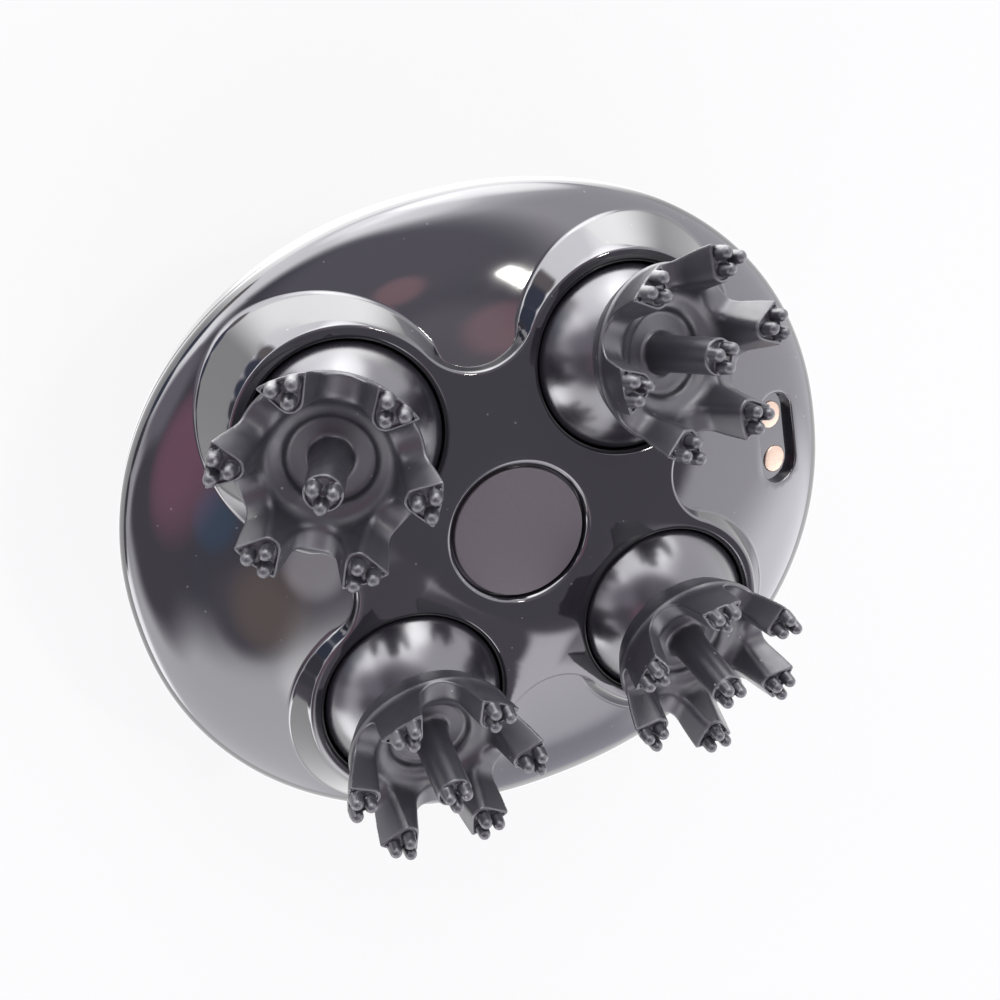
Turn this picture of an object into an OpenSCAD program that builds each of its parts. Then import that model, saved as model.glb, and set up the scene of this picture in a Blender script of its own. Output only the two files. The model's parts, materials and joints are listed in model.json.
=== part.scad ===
// Electric scalp massager with four kneading heads.
// The body stands on the flat of its crown, with the claws pointing up along +Z.
// +X points to the charging socket. The origin is the middle of the crown's flat.
// Lengths are in millimetres.

/* [Body] */
// Length of the body along X, at its widest line
body_x = 116.8; // [112:0.4:126]
// Width of the body along Y, at its widest line
body_y = 103; // [99:0.5:112]
// Height of the flat face above the crown
face_z = 60; // [59:0.5:64]
// How far the widest line lies below the flat face
girth_drop = 9.5; // [8.5:0.5:10.5]
// Height that the flat of the crown cuts off the grip dome
crown_cut = 2.5; // [2.2:0.1:5]
// How far the convex skirt lies below the flat face at the middle
skirt_sink = 0.4; // [0.3:0.1:0.8]
// Squareness of the outline, where 2 is a true ellipse
outline_power = 2.13; // [2:0.01:2.4]
// Wall of both covers
wall = 2.2; // [1.8:0.1:2.6]
// Thickness of the flat face
face_t = 2.4; // [2:0.1:2.8]
// How far the seam lies below the widest line
seam_drop = 1; // [0.6:0.1:2]
// Gap between the two covers, filled by the gasket
seam_gap = 0.4; // [0.3:0.1:0.8]
// How deep the groove of the seam shows
seam_groove = 0.8; // [0.5:0.1:1]

/* [Face] */
// Radius of each head's opening
hole_r = 14.45; // [14:0.05:14.8]
// Radius of the rounded lip of each opening
lip_r = 1.7; // [1.2:0.1:2]
// Outward run of the raised collar for each millimetre that it falls
collar_slope = 0.776; // [0.7:0.01:0.85]
// Wall of the collar, measured level
collar_wall = 2.2; // [1.8:0.1:2.4]
// Half width of the flat face where it is narrowest, between two collars
waist = 26; // [25:0.5:28]
// Radius of the round plate in the middle of the face
disc_r = 10.45; // [9.5:0.05:11]
// Thickness of the round plate
disc_t = 1.2; // [0.8:0.1:1.4]
// How far the round plate lies below the face
disc_sink = 0.4; // [0.2:0.1:0.5]
// Gap round the round plate
disc_gap = 0.45; // [0.2:0.05:0.7]

/* [Heads] */
// Lean of each head's axis from the axis that it turns about
lean = 16.2; // [12:0.1:17]
// Depth of the tilt centre below the narrow edge of the opening
pivot_depth = 5.6; // [5:0.1:6]
// Gap between the ball cap and the edge of the opening
ball_gap = 0.6; // [0.5:0.05:0.8]
// Wall of the ball cap
ball_wall = 1.5; // [1.2:0.1:1.8]
// Height of the ball cap's flat top above the tilt centre
cap_h = 10.5; // [10:0.1:11]
// Radius of the leaning hub on the drive shaft
hub_r = 5; // [4.5:0.1:5.5]
// How far the hub reaches behind the tilt centre
hub_back = 2.5; // [2:0.1:3]
// Radius of the drive shaft
shaft_r = 3; // [2.6:0.1:3.2]
// Radius of the drive shaft's lower journal
journal_r = 2; // [1.6:0.1:2.2]
// Radius of the spigot that holds a claw in its hub
spigot_r = 3; // [2.4:0.1:3.2]
// Depth of the spigot in the hub
spigot_depth = 6; // [4:0.5:7]

/* [Claws] */
// Outer radius of a claw at its seat
claw_base_r = 10.8; // [10.4:0.1:11]
// Outer radius of a claw at its finger tips
claw_tip_r = 15.4; // [14.6:0.1:15.6]
// Height of the outer fingers above the tilt centre
finger_h = 21.8; // [20.5:0.1:22.5]
// Radial thickness of a finger at its tip
finger_t = 5.1; // [4.8:0.1:5.3]
// Height of the middle post above the tilt centre
post_h = 24.5; // [23:0.1:25.5]
// Radius of the middle post at its tip
post_r = 2.65; // [2.3:0.05:3]
// Thickness of the floor of a claw
claw_floor = 2.9; // [2.6:0.1:3.1]
// Width of the arches between the fingers, at the tips
arch_w = 8.9; // [8.6:0.1:9.2]
// Radius of the round foot of each arch
arch_r = 3.4; // [3.2:0.1:3.6]
// Radius of the small round nubs on the tips
nub_r = 1; // [0.9:0.02:1.1]

/* [Gears] */
// Module of the sun gear and the four head gears
head_module = 0.8; // [0.78:0.01:0.82]
// Teeth of each head gear
head_teeth = 32; // [31:1:33]
// Teeth of the sun gear
sun_teeth = 46; // [45:1:47]
// Module of the wheel under the sun gear
wheel_module = 0.6; // [0.58:0.01:0.62]
// Teeth of the wheel under the sun gear
wheel_teeth = 70; // [68:2:70]
// Teeth of the small gear that drives that wheel
drive_teeth = 14; // [14:1:16]
// Module of the motor's stage
motor_module = 0.5; // [0.5:0.01:0.52]
// Teeth of the reduction wheel
reduction_teeth = 48; // [46:1:48]
// Teeth of the motor's pinion
pinion_teeth = 14; // [14:1:16]
// Face width of the head gears and the sun gear
head_gear_t = 4; // [3:0.2:4.4]
// Face width of the wheel under the sun gear
wheel_t = 3.6; // [3:0.2:4]
// Face width of the motor's stage
motor_gear_t = 3; // [2.4:0.2:3.4]
// Backlash, taken off each tooth at the pitch line
backlash = 0.12; // [0.08:0.02:0.2]
// Radius of the two gear axles
axle_r = 1.5; // [1.2:0.1:1.8]

/* [Chassis] */
// Thickness of the upper bearing plate
bearing_plate_t = 3; // [2.6:0.1:3.4]
// Thickness of the lower gear plate
gear_plate_t = 2; // [1.6:0.1:2.4]
// Length of the bearing plate
bearing_plate_l = 84; // [82:1:86]
// Length of the gear plate
gear_plate_l = 60; // [56:1:64]
// Gap between the plates' ends along Y and the grip dome
plate_play = 2.3; // [1.8:0.1:3]
// Wall of the bushes
bush_wall = 1.5; // [1.2:0.1:2]
// Thickness of the bushes' flanges
bush_flange_t = 0.8; // [0.6:0.1:1]
// Height of the shaft seals
seal_h = 1.4; // [1.2:0.1:1.6]
// Radius of the pillars between the plates
pillar_r = 2.2; // [2:0.1:2.6]
// Distance of the pillars from the middle, along X
pillar_x = 12; // [11.5:0.1:13]
// Radius of the posts that carry the chassis
post_boss_r = 3; // [2.6:0.1:3.2]

/* [Drive and supply] */
// Radius of the motor
motor_r = 12; // [11:0.2:12.2]
// Height of the motor's can
motor_h = 17.6; // [16:0.2:18]
// Radius of the battery cell
battery_r = 7; // [6.4:0.1:7.2]
// Length of the battery cell
battery_l = 50; // [44:1:52]
// Radius of the main board
board_r = 21; // [19:0.5:22]
// Thickness of the main board
board_t = 1.2; // [1:0.1:1.6]
// Height of the main board above the crown
board_z = 6.6; // [6.4:0.1:7]

/* [Power button] */
// Radius of the power button
button_r = 9; // [8:0.1:10]
// Travel of the power button
button_travel = 0.8; // [0.5:0.1:1]
// How far the power button lies inside the crown's flat
button_sink = 0.5; // [0.3:0.1:0.8]
// Width of the light ring round the button
ring_w = 3.2; // [2.4:0.1:3.6]

/* [Charging socket] */
// Distance of the socket's middle from the body's +X end
socket_inset = 9.4; // [9:0.1:9.8]
// Length of the socket along Y
socket_l = 14.4; // [13:0.2:15]
// Width of the socket
socket_w = 6.4; // [6:0.1:6.8]
// Depth of the socket
socket_depth = 2.2; // [1.8:0.1:2.4]
// Radius of the two charging contacts
contact_r = 1.95; // [1.6:0.05:2.1]
// Distance between the middles of the contacts
contact_pitch = 8; // [7:0.1:8.4]

/* [Clearances] */
// Running clearance of a shaft in its bore, on the radius
run_gap = 0.05; // [0.03:0.01:0.08]
// Clearance between moving faces
face_gap = 0.4; // [0.3:0.05:0.6]
// Clearance of a seated piece, on the radius
seat_gap = 0.05; // [0.03:0.01:0.1]

/* [Hidden] */

// Fineness of round shapes
$fn = 64;
// Overlap that makes a cut pass through a face
eps = 0.02;
// Straight sides of the body's outline
outline_steps = 72;

// Body
girth_z = face_z - girth_drop;
// Depth that the grip dome would have below the widest line if its crown weren't flat
dome_depth = girth_z + crown_cut;
skirt_rise = girth_drop - skirt_sink;
// Latitudes at which the skirt's outside and inside end, under the flat face
skirt_top = 78;
inner_skirt_top = 75;
half_x = body_x / 2;
half_y = body_y / 2;
seam_z = girth_z - seam_drop;
// Radius of the rounded rim round the middle plate
rim_r = 0.9;

// Head positions: back left, back right, front left, front right
head_pitch = head_module * (head_teeth + sun_teeth) / 2;
head_off = head_pitch / sqrt(2);
HEAD_SIGN = [[-1, 1], [1, 1], [-1, -1], [1, -1]];
// Compass direction that each head leans to at rest
LEAN_TO = [185, 15, 270, 279];
// Turn of each claw's fingers about its own axis
FINGER_TURN = [-23, 2, -10, -31];

// Height of the stack, from the tilt centre down
pivot_z = face_z - lip_r - pivot_depth;
ball_r = sqrt(pow(hole_r - ball_gap, 2) + pow(pivot_depth, 2));
collar_r = hole_r + lip_r;
hub_low = pivot_z - hub_back * cos(lean) - hub_r * sin(lean);
seal_top = hub_low - face_gap;
flange_bottom = seal_top - seal_h - bush_flange_t;
bearing_top = flange_bottom;
bearing_bottom = bearing_top - bearing_plate_t;
head_gear_top = bearing_bottom - 2 * face_gap;
head_gear_z = head_gear_top - head_gear_t;
wheel_z = head_gear_z - 2 * face_gap - wheel_t;
motor_gear_z = wheel_z - face_gap - motor_gear_t;
gear_plate_top = motor_gear_z - face_gap;
gear_plate_bottom = gear_plate_top - gear_plate_t;
// Foot of the gear axles, in blind holes of the gear plate
axle_low = gear_plate_bottom + 0.6;
bearing_corner_r = 20;
gear_corner_r = 18;
// Width of both plates, inside the grip dome at the lower plate
plate_w = 2 * ((half_y - wall) * cos(low_latitude(wall, gear_plate_bottom)) - plate_play);
pillar_edge = 0.8;
pillar_y = plate_w / 2 - pillar_r - pillar_edge;
PILLARS = [[-pillar_x, pillar_y], [pillar_x, pillar_y], [-pillar_x, -pillar_y], [pillar_x, -pillar_y]];

// Bushes and seals of the drive shafts
bush_r = shaft_r + run_gap + bush_wall;
bush_flange_w = 1.5;
seal_gap = 0.08;
seal_body_w = 1;
seal_w = 2.8;
seal_r = shaft_r + seal_w;

// Gear train
reduction_y = -wheel_module * (wheel_teeth + drive_teeth) / 2;
motor_y = reduction_y + motor_module * (reduction_teeth + pinion_teeth) / 2;
sun_r = head_module * sun_teeth / 2;
head_gear_r = head_module * head_teeth / 2;
sun_hub_r = 6;
pocket_depth = 1.2;
addendum = 0.8;
dedendum = 1.05;
pressure = 20;
// Direction of each head from the sun gear
HEAD_DIR = [135, 45, 225, 315];
// Turn of each gear at rest, in mesh from the sun gear out
sun_turn = 0;
reduction_turn = mesh_turn(wheel_teeth, sun_turn, -90, drive_teeth);
pinion_turn = mesh_turn(reduction_teeth, reduction_turn, 90, pinion_teeth);

// Motor
motor_boss_r = 3;
motor_boss_h = 1.4;
motor_screw_x = 8.5;
motor_shaft_r = 1;
shaft_depth = 7.5;

// Fasteners
screw_r = 1.25;
screw_head_r = 2.5;
screw_head_t = 1.5;
small_screw_r = 0.95;
small_head_r = 1.8;
small_head_t = 1.1;
screw_reach = 9;
screw_play = 0.15;
board_screw_reach = 3;
motor_screw_reach = 3;
// How much shorter a screw is than its hole
screw_spare = 0.5;
CHASSIS_POSTS = [[-37.5, 9], [37.5, 9], [-37.5, -9], [37.5, -9]];
BOARD_POST_ANGLES = [0, 120, 240];
board_post_edge = 3;
board_post_ring = board_r - board_post_edge;
board_post_r = 2.2;
post_foot_z = 6;

// Main board's chips: x, y, length and width
CHIPS = [[-6, 6, 7, 7], [6, -2, 4, 8], [-15, -4, 5, 5]];
chip_h = 0.9;

// Crown
crown_t = wall + 0.2;
ring_out = button_r + face_gap + ring_w;
ring_in = button_r + face_gap;
ring_t = 1.1;
ring_sink = 0.3;
button_wall = 1.6;
button_flange_w = 1.4;
button_flange_t = 0.7;
button_chamfer = 0.5;
// Gap that the button keeps from the crown at rest and from the switch when pressed
button_slack = 0.1;
switch_body_h = 1.7;
switch_l = 6;
stem_r = 1.7;
switch_tip_h = 0.4;
switch_tip = board_z - switch_body_h - switch_tip_h;

// Charging socket: its place on the skirt and the skirt's slope there, in degrees from level
socket_x = half_x - socket_inset;
socket_ratio = socket_x / half_x;
socket_z = girth_z + skirt_rise * sqrt(1 - socket_ratio * socket_ratio);
socket_tilt = atan(skirt_rise * socket_ratio / (half_x * sqrt(1 - socket_ratio * socket_ratio)));
socket_floor_t = 1.4;
socket_ledge = 0.6;
socket_boss_wall = 1.6;
socket_flange_t = 0.8;
magnet_t = 1.2;

// Supply
battery_wall = 1.4;
battery_y = motor_y + motor_r + battery_r + battery_wall + 1.2;
battery_z = gear_plate_bottom - battery_r - 2.6;
cell_cap_r = battery_r / 2.4;
cell_cap_h = 1;
holder_l = battery_l * 0.7;

// Sleeve of a ball cap, which sits on its hub
sleeve_t = 1.7;
sleeve_low = 1;

// Claw
floor_top = cap_h + claw_floor;
arch_foot = 1.2;
arch_low = floor_top + arch_foot;
well_r = 6.3;
well_depth = 1.5;
well_edge = 0.7;
wall_in_r = 9.1;
core_t = 0.7;
core_r = 8.6;
core_top = cap_h + core_t + seat_gap;
fingers = 6;
bead_r = 0.5;
finger_in_r = claw_tip_r - finger_t;
tip_ring = claw_tip_r - 1.8;
post_flare = 0.45;
finger_nub_ring = 1.4;
post_nub_ring = 1.5;
nub_rise = 1.3;
post_nub_turn = -30;
spigot_end_gap = 0.3;

// ---------- shapes used by several parts ----------

// A signed power, for the outline
function spow(v, e) = sign(v) * pow(abs(v), e);

// One ring of the body's outline, with half lengths a and b, at height z
function outline(a, b, z) = [
    for (i = [0 : outline_steps - 1])
        let (t = 360 * i / outline_steps)
        [a * spow(cos(t), 2 / outline_power), b * spow(sin(t), 2 / outline_power), z]
];

// A ring on the body's surface, inset by a wall, at latitude v; below 0 is the grip dome
function body_ring(inset, v) = let (
        deep = dome_depth - inset,
        rise = skirt_rise - (inset > 0 ? inset : 0),
        z = girth_z + (v < 0 ? deep : rise) * sin(v)
    ) outline((half_x - inset) * cos(v), (half_y - inset) * cos(v), z);

// Latitude of the grip dome's surface at height z
function low_latitude(inset, z) = -asin((girth_z - z) / (dome_depth - inset));

// A closed solid through a list of rings
module loft(rings) {
    n = len(rings[0]);
    last = len(rings) - 1;
    points = [for (ring = rings) each ring];
    sides = [
        for (j = [0 : last - 1], i = [0 : n - 1])
            let (k = (i + 1) % n)
            [j * n + i, (j + 1) * n + i, (j + 1) * n + k, j * n + k]
    ];
    bottom = [for (i = [0 : n - 1]) i];
    top = [for (i = [n - 1 : -1 : 0]) last * n + i];
    polyhedron(points = points, faces = concat(sides, [bottom, top]), convexity = 4);
}

// The body between two latitudes, inset by a wall
module body_solid(inset, v0, v1, steps) {
    loft([for (j = [0 : steps]) body_ring(inset, v0 + (v1 - v0) * j / steps)]);
}

// Points of a smooth bend from p0 to p2, pulled towards p1
function bend(p0, p1, p2, steps) = [
    for (i = [0 : steps])
        let (t = i / steps)
        (1 - t) * (1 - t) * p0 + 2 * t * (1 - t) * p1 + t * t * p2
];

// Involute spur gear outline
function inv(a) = tan(a) * 180 / PI - a;
function half_tooth(m, teeth, rad) = let (
        pitch_r = m * teeth / 2,
        base_r = pitch_r * cos(pressure),
        a = rad > base_r ? acos(base_r / rad) : 0
    ) 90 / teeth - backlash / 2 / pitch_r * 180 / PI + inv(pressure) - inv(a);
function gear_points(m, teeth) = let (
        pitch_r = m * teeth / 2,
        root = pitch_r - dedendum * m,
        tip = pitch_r + addendum * m,
        mids = [root, max(root + 0.02, pitch_r * cos(pressure)), pitch_r, (pitch_r + tip) / 2, tip],
        flank = [for (rad = mids) [rad, half_tooth(m, teeth, rad)]]
    ) [
        for (k = [0 : teeth - 1], side = [-1, 1], j = [0 : len(flank) - 1])
            let (f = side < 0 ? flank[j] : flank[len(flank) - 1 - j], a = 360 * k / teeth + side * f[1])
            [f[0] * cos(a), f[0] * sin(a)]
    ];
module gear_body(m, teeth, t) {
    linear_extrude(t) polygon(gear_points(m, teeth));
}

// Turn of a driven gear that puts it in mesh with a gear of turn a0, seen in direction dir
function mesh_turn(teeth_a, a0, dir, teeth_b) =
    dir + 180 + 180 / teeth_b - (a0 - dir) * teeth_a / teeth_b;

module rounded_plate(l, w, r, t) {
    linear_extrude(t) union() {
        square([l - 2 * r, w], center = true);
        square([l, w - 2 * r], center = true);
        for (x = [-1, 1], y = [-1, 1]) translate([x * (l / 2 - r), y * (w / 2 - r)]) circle(r);
    }
}

module stadium(l, w, t) {
    linear_extrude(t) union() {
        square([w, l - w], center = true);
        for (y = [-1, 1]) translate([0, y * (l - w) / 2]) circle(w / 2);
    }
}

// Places its children at each head's axis
module at_head(i) {
    translate([HEAD_SIGN[i][0] * head_off, HEAD_SIGN[i][1] * head_off, 0]) children();
}

// Places its children on a head's leaning axis, with the tilt centre as origin
module leaning(i) {
    at_head(i) translate([0, 0, pivot_z])
        rotate([0, 0, LEAN_TO[i]]) rotate([0, lean, 0]) rotate([0, 0, FINGER_TURN[i] - LEAN_TO[i]])
            children();
}

// ---------- covers ----------

// Outline of the flat face: four lobes round the heads, joined by hollow waists
module face_outline(inset) {
    lobe = collar_r - inset;
    edge = waist - inset;
    hollow_r = (pow(head_off, 2) + pow(edge - head_off, 2) - pow(lobe, 2)) / (2 * (lobe - edge + head_off));
    hollow_y = edge + hollow_r;
    difference() {
        polygon([
            [head_off, head_off], [0, hollow_y], [-head_off, head_off], [-hollow_y, 0],
            [-head_off, -head_off], [0, -hollow_y], [head_off, -head_off], [hollow_y, 0]
        ]);
        for (a = [0 : 90 : 270]) rotate(a) translate([hollow_y, 0]) circle(hollow_r);
    }
    for (s = HEAD_SIGN) translate(s * head_off) circle(lobe);
}

// Places its children on the skirt at the socket, with +Z out of the surface
module at_socket() {
    translate([socket_x, 0, socket_z]) rotate([0, socket_tilt, 0]) children();
}

module face_cover() {
    color("#1d1d21") difference() {
        union() {
            difference() {
                face_cover_outside();
                face_cover_inside();
            }
            at_socket() translate([0, 0, -socket_depth - socket_floor_t])
                stadium(socket_l + 2 * socket_boss_wall, socket_w + 2 * socket_boss_wall,
                    socket_depth + socket_floor_t - wall / 2);
        }
        for (i = [0 : 3]) at_head(i) {
            translate([0, 0, girth_z]) cylinder(r = hole_r, h = girth_drop + 1);
            lip_cutter();
        }
        disc_recess();
        at_socket() {
            translate([0, 0, -socket_depth]) stadium(socket_l, socket_w, socket_depth + 4);
            translate([0, 0, -socket_depth - socket_floor_t - 1])
                stadium(socket_l - 2 * socket_ledge, socket_w - 2 * socket_ledge, socket_floor_t + 1 + eps);
        }
    }
}

// Skirt, flat face and the conical collars round the openings
module face_cover_outside() {
    body_solid(0, low_latitude(0, seam_z), skirt_top, 9);
    for (i = [0 : 3]) at_head(i) translate([0, 0, girth_z])
        cylinder(r1 = collar_r + girth_drop * collar_slope, r2 = collar_r, h = girth_drop);
    translate([0, 0, girth_z + 1]) linear_extrude(girth_drop - 1) face_outline(0);
}

module face_cover_inside() {
    body_solid(wall, low_latitude(wall, seam_z - 1), inner_skirt_top, 9);
    for (i = [0 : 3]) at_head(i) translate([0, 0, girth_z])
        cylinder(
            r1 = collar_r + girth_drop * collar_slope - collar_wall,
            r2 = collar_r + face_t * collar_slope - collar_wall,
            h = girth_drop - face_t
        );
    translate([0, 0, girth_z]) linear_extrude(girth_drop - face_t) face_outline(collar_wall);
}

// Cuts the rounded lip of a head's opening
module lip_cutter() {
    translate([0, 0, face_z - lip_r]) rotate_extrude() difference() {
        translate([hole_r - 1, 0]) square([lip_r + 1, lip_r + 1]);
        translate([hole_r + lip_r, 0]) circle(lip_r);
    }
}

// Seat of the round plate, with its rounded rim
module disc_recess() {
    recess_r = disc_r + disc_gap;
    translate([0, 0, face_z - disc_sink - disc_t]) cylinder(r = recess_r, h = disc_sink + disc_t + 1);
    translate([0, 0, face_z - rim_r]) rotate_extrude() difference() {
        translate([recess_r - 1, 0]) square([rim_r + 1, rim_r + 1]);
        translate([recess_r + rim_r, 0]) circle(rim_r);
    }
}

module dome_cover() {
    top_z = seam_z - seam_gap;
    half_wall = wall / 2;
    half_crown = crown_t / 2;
    color("#18181b") difference() {
        union() {
            difference() {
                body_solid(0, low_latitude(0, 0), low_latitude(0, top_z), 12);
                body_solid(wall, low_latitude(wall, crown_t), low_latitude(wall, top_z + 1), 12);
            }
            intersection() {
                body_solid(half_wall, low_latitude(half_wall, half_crown),
                    low_latitude(half_wall, top_z - 1), 12);
                union() {
                    for (p = CHASSIS_POSTS) translate([p[0], p[1], post_foot_z])
                        cylinder(r = post_boss_r, h = bearing_bottom - post_foot_z);
                    for (a = BOARD_POST_ANGLES) rotate(a) translate([board_post_ring, 0, half_crown])
                        cylinder(r = board_post_r, h = board_z - half_crown);
                }
            }
        }
        for (p = CHASSIS_POSTS) translate([p[0], p[1], bearing_bottom - screw_reach])
            cylinder(r = screw_r + seat_gap, h = screw_reach + 1);
        for (a = BOARD_POST_ANGLES) rotate(a) translate([board_post_ring, 0, board_z - board_screw_reach])
            cylinder(r = small_screw_r + seat_gap, h = board_screw_reach + 1);
        translate([0, 0, -1]) cylinder(r = ring_out + seat_gap, h = ring_sink + ring_t + 1);
        translate([0, 0, -1]) cylinder(r = ring_in, h = crown_t + 2);
    }
}

module cover_gasket() {
    color("#2c2c30") difference() {
        loft([for (z = [seam_z - seam_gap, seam_z])
            outline(half_x - seam_groove, half_y - seam_groove, z)]);
        loft([for (z = [seam_z - seam_gap - 1, seam_z + 1])
            outline(half_x - wall, half_y - wall, z)]);
    }
}

module centre_disc() {
    color("#6c6268") translate([0, 0, face_z - disc_sink - disc_t]) cylinder(r = disc_r, h = disc_t);
}

// ---------- crown ----------

module light_ring() {
    color("#d9d9de") translate([0, 0, ring_sink]) difference() {
        cylinder(r = ring_out, h = ring_t);
        translate([0, 0, -1]) cylinder(r = ring_in, h = ring_t + 2);
    }
}

// A hollow cap with a flange inside the crown and a stem that reaches for the switch
module power_button() {
    seat = crown_t + button_slack;
    inside_r = button_r - button_wall;
    inside_z = button_sink + button_wall;
    color("#232327") {
        difference() {
            union() {
                translate([0, 0, button_sink])
                    cylinder(r1 = button_r - button_chamfer, r2 = button_r, h = button_chamfer);
                translate([0, 0, button_sink + button_chamfer])
                    cylinder(r = button_r, h = seat - button_sink - button_chamfer);
                translate([0, 0, seat]) cylinder(r = button_r + button_flange_w, h = button_flange_t);
            }
            translate([0, 0, inside_z]) cylinder(r = inside_r, h = crown_t + 2);
        }
        translate([0, 0, inside_z - eps])
            cylinder(r = stem_r, h = switch_tip - button_travel - button_slack - inside_z + eps);
    }
}

// ---------- charging socket ----------

// Insert that closes the socket's floor, with a flange behind it
module charge_socket() {
    seat_l = socket_l - 2 * socket_ledge - 2 * seat_gap;
    seat_w = socket_w - 2 * socket_ledge - 2 * seat_gap;
    back = -socket_depth - socket_floor_t;
    color("#26262a") at_socket() difference() {
        union() {
            translate([0, 0, back - eps]) stadium(seat_l, seat_w, socket_floor_t + 0.1 + eps);
            translate([0, 0, back - socket_flange_t])
                stadium(seat_l + 2 * socket_ledge, seat_w + 2 * socket_ledge, socket_flange_t);
        }
        for (y = [-1, 1]) translate([0, y * contact_pitch / 2, back - socket_flange_t - 1])
            cylinder(r = contact_r + seat_gap, h = socket_floor_t + socket_flange_t + 3);
    }
}

module charge_contacts() {
    contact_back = -socket_depth - socket_floor_t - socket_flange_t - 0.2;
    color("#d8a878") at_socket() for (y = [-1, 1]) translate([0, y * contact_pitch / 2, contact_back]) {
        cylinder(r = contact_r, h = 0.25 - socket_depth - contact_back);
        translate([0, 0, -1.6]) cylinder(r = 0.5, h = 1.6 + eps);
    }
}

module charge_magnet() {
    color("#9a9aa0") at_socket()
        translate([0, 0, -socket_depth - socket_floor_t - socket_flange_t - magnet_t])
            linear_extrude(magnet_t) square([4, contact_pitch - 2 * contact_r - 0.6], center = true);
}

// ---------- chassis ----------

module bearing_plate() {
    color("#3a3d42") difference() {
        union() {
            translate([0, 0, bearing_bottom])
                rounded_plate(bearing_plate_l, plate_w, bearing_corner_r, bearing_plate_t);
            for (p = PILLARS) translate([p[0], p[1], gear_plate_top])
                cylinder(r = pillar_r, h = bearing_bottom - gear_plate_top + eps);
        }
        for (i = [0 : 3]) at_head(i) translate([0, 0, bearing_bottom - 1])
            cylinder(r = bush_r + seat_gap, h = bearing_plate_t + 2);
        for (p = CHASSIS_POSTS) translate([p[0], p[1], bearing_bottom - 1])
            cylinder(r = screw_r + screw_play, h = bearing_plate_t + 2);
        for (p = PILLARS) translate([p[0], p[1], gear_plate_top - 1])
            cylinder(r = small_screw_r + seat_gap, h = screw_reach + 1);
        for (y = [0, reduction_y]) translate([0, y, bearing_bottom - 1])
            cylinder(r = axle_r + seat_gap, h = bearing_plate_t + 2);
    }
}

module gear_plate() {
    color("#45484e") difference() {
        translate([0, 0, gear_plate_bottom])
            rounded_plate(gear_plate_l, plate_w, gear_corner_r, gear_plate_t);
        for (i = [0 : 3]) at_head(i) translate([0, 0, gear_plate_bottom - 1])
            cylinder(r = journal_r + run_gap, h = gear_plate_t + 2);
        for (p = PILLARS) translate([p[0], p[1], gear_plate_bottom - 1])
            cylinder(r = small_screw_r + screw_play, h = gear_plate_t + 2);
        for (y = [0, reduction_y]) translate([0, y, axle_low])
            cylinder(r = axle_r + seat_gap, h = gear_plate_t);
        translate([0, motor_y, gear_plate_bottom - 1])
            cylinder(r = motor_boss_r + seat_gap, h = gear_plate_t + 2);
        for (x = [-1, 1]) translate([x * motor_screw_x, motor_y, gear_plate_bottom - 1])
            cylinder(r = small_screw_r + screw_play, h = gear_plate_t + 2);
    }
}

module plate_screws() {
    color("#b8bbc0") for (p = PILLARS) translate([p[0], p[1], gear_plate_bottom]) {
        translate([0, 0, -small_head_t]) cylinder(r = small_head_r, h = small_head_t);
        translate([0, 0, -eps]) cylinder(r = small_screw_r, h = gear_plate_t + screw_reach - screw_spare);
    }
}

module chassis_screws() {
    color("#b8bbc0") for (p = CHASSIS_POSTS) translate([p[0], p[1], bearing_top]) {
        cylinder(r = screw_head_r, h = screw_head_t);
        translate([0, 0, screw_spare - screw_reach - bearing_plate_t])
            cylinder(r = screw_r, h = bearing_plate_t + screw_reach - screw_spare + eps);
    }
}

module axle(y) {
    translate([0, y, axle_low]) cylinder(r = axle_r, h = bearing_top - axle_low);
}
module centre_axle() { color("#c9ccd1") axle(0); }
module reduction_axle() { color("#c9ccd1") axle(reduction_y); }

// Bush with its flange above the bearing plate
module bush(i) {
    color("#c8a45a") at_head(i) difference() {
        union() {
            translate([0, 0, bearing_bottom]) cylinder(r = bush_r, h = bearing_plate_t + eps);
            translate([0, 0, bearing_top]) cylinder(r = bush_r + bush_flange_w, h = bush_flange_t);
        }
        translate([0, 0, bearing_bottom - 1])
            cylinder(r = shaft_r + run_gap, h = bearing_plate_t + bush_flange_t + 2);
    }
}

// Lip seal of a drive shaft
module shaft_seal(i) {
    z0 = bearing_top + bush_flange_t;
    lip = shaft_r + seal_gap;
    back = shaft_r + seal_body_w;
    color("#33353a") at_head(i) translate([0, 0, z0]) rotate_extrude() polygon([
        [lip, seal_h * 0.3], [lip, seal_h * 0.65], [back, seal_h], [seal_r, seal_h], [seal_r, 0], [back, 0]
    ]);
}

// ---------- gear train ----------

module centre_gear() {
    color("#e8e4d8") difference() {
        rotate(sun_turn) {
            translate([0, 0, head_gear_z]) gear_body(head_module, sun_teeth, head_gear_t);
            translate([0, 0, wheel_z]) gear_body(wheel_module, wheel_teeth, wheel_t);
            translate([0, 0, wheel_z]) cylinder(r = sun_hub_r, h = head_gear_top - wheel_z);
        }
        translate([0, 0, head_gear_top - pocket_depth])
            ring_pocket(sun_hub_r + 1.5, sun_r - 4, pocket_depth + 1);
        translate([0, 0, wheel_z - 1]) cylinder(r = axle_r + run_gap, h = head_gear_top - wheel_z + 2);
    }
}

// Ring-shaped pocket that lightens a gear
module ring_pocket(r_in, r_out, t) {
    difference() {
        cylinder(r = r_out, h = t);
        translate([0, 0, -1]) cylinder(r = r_in, h = t + 2);
    }
}

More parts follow.
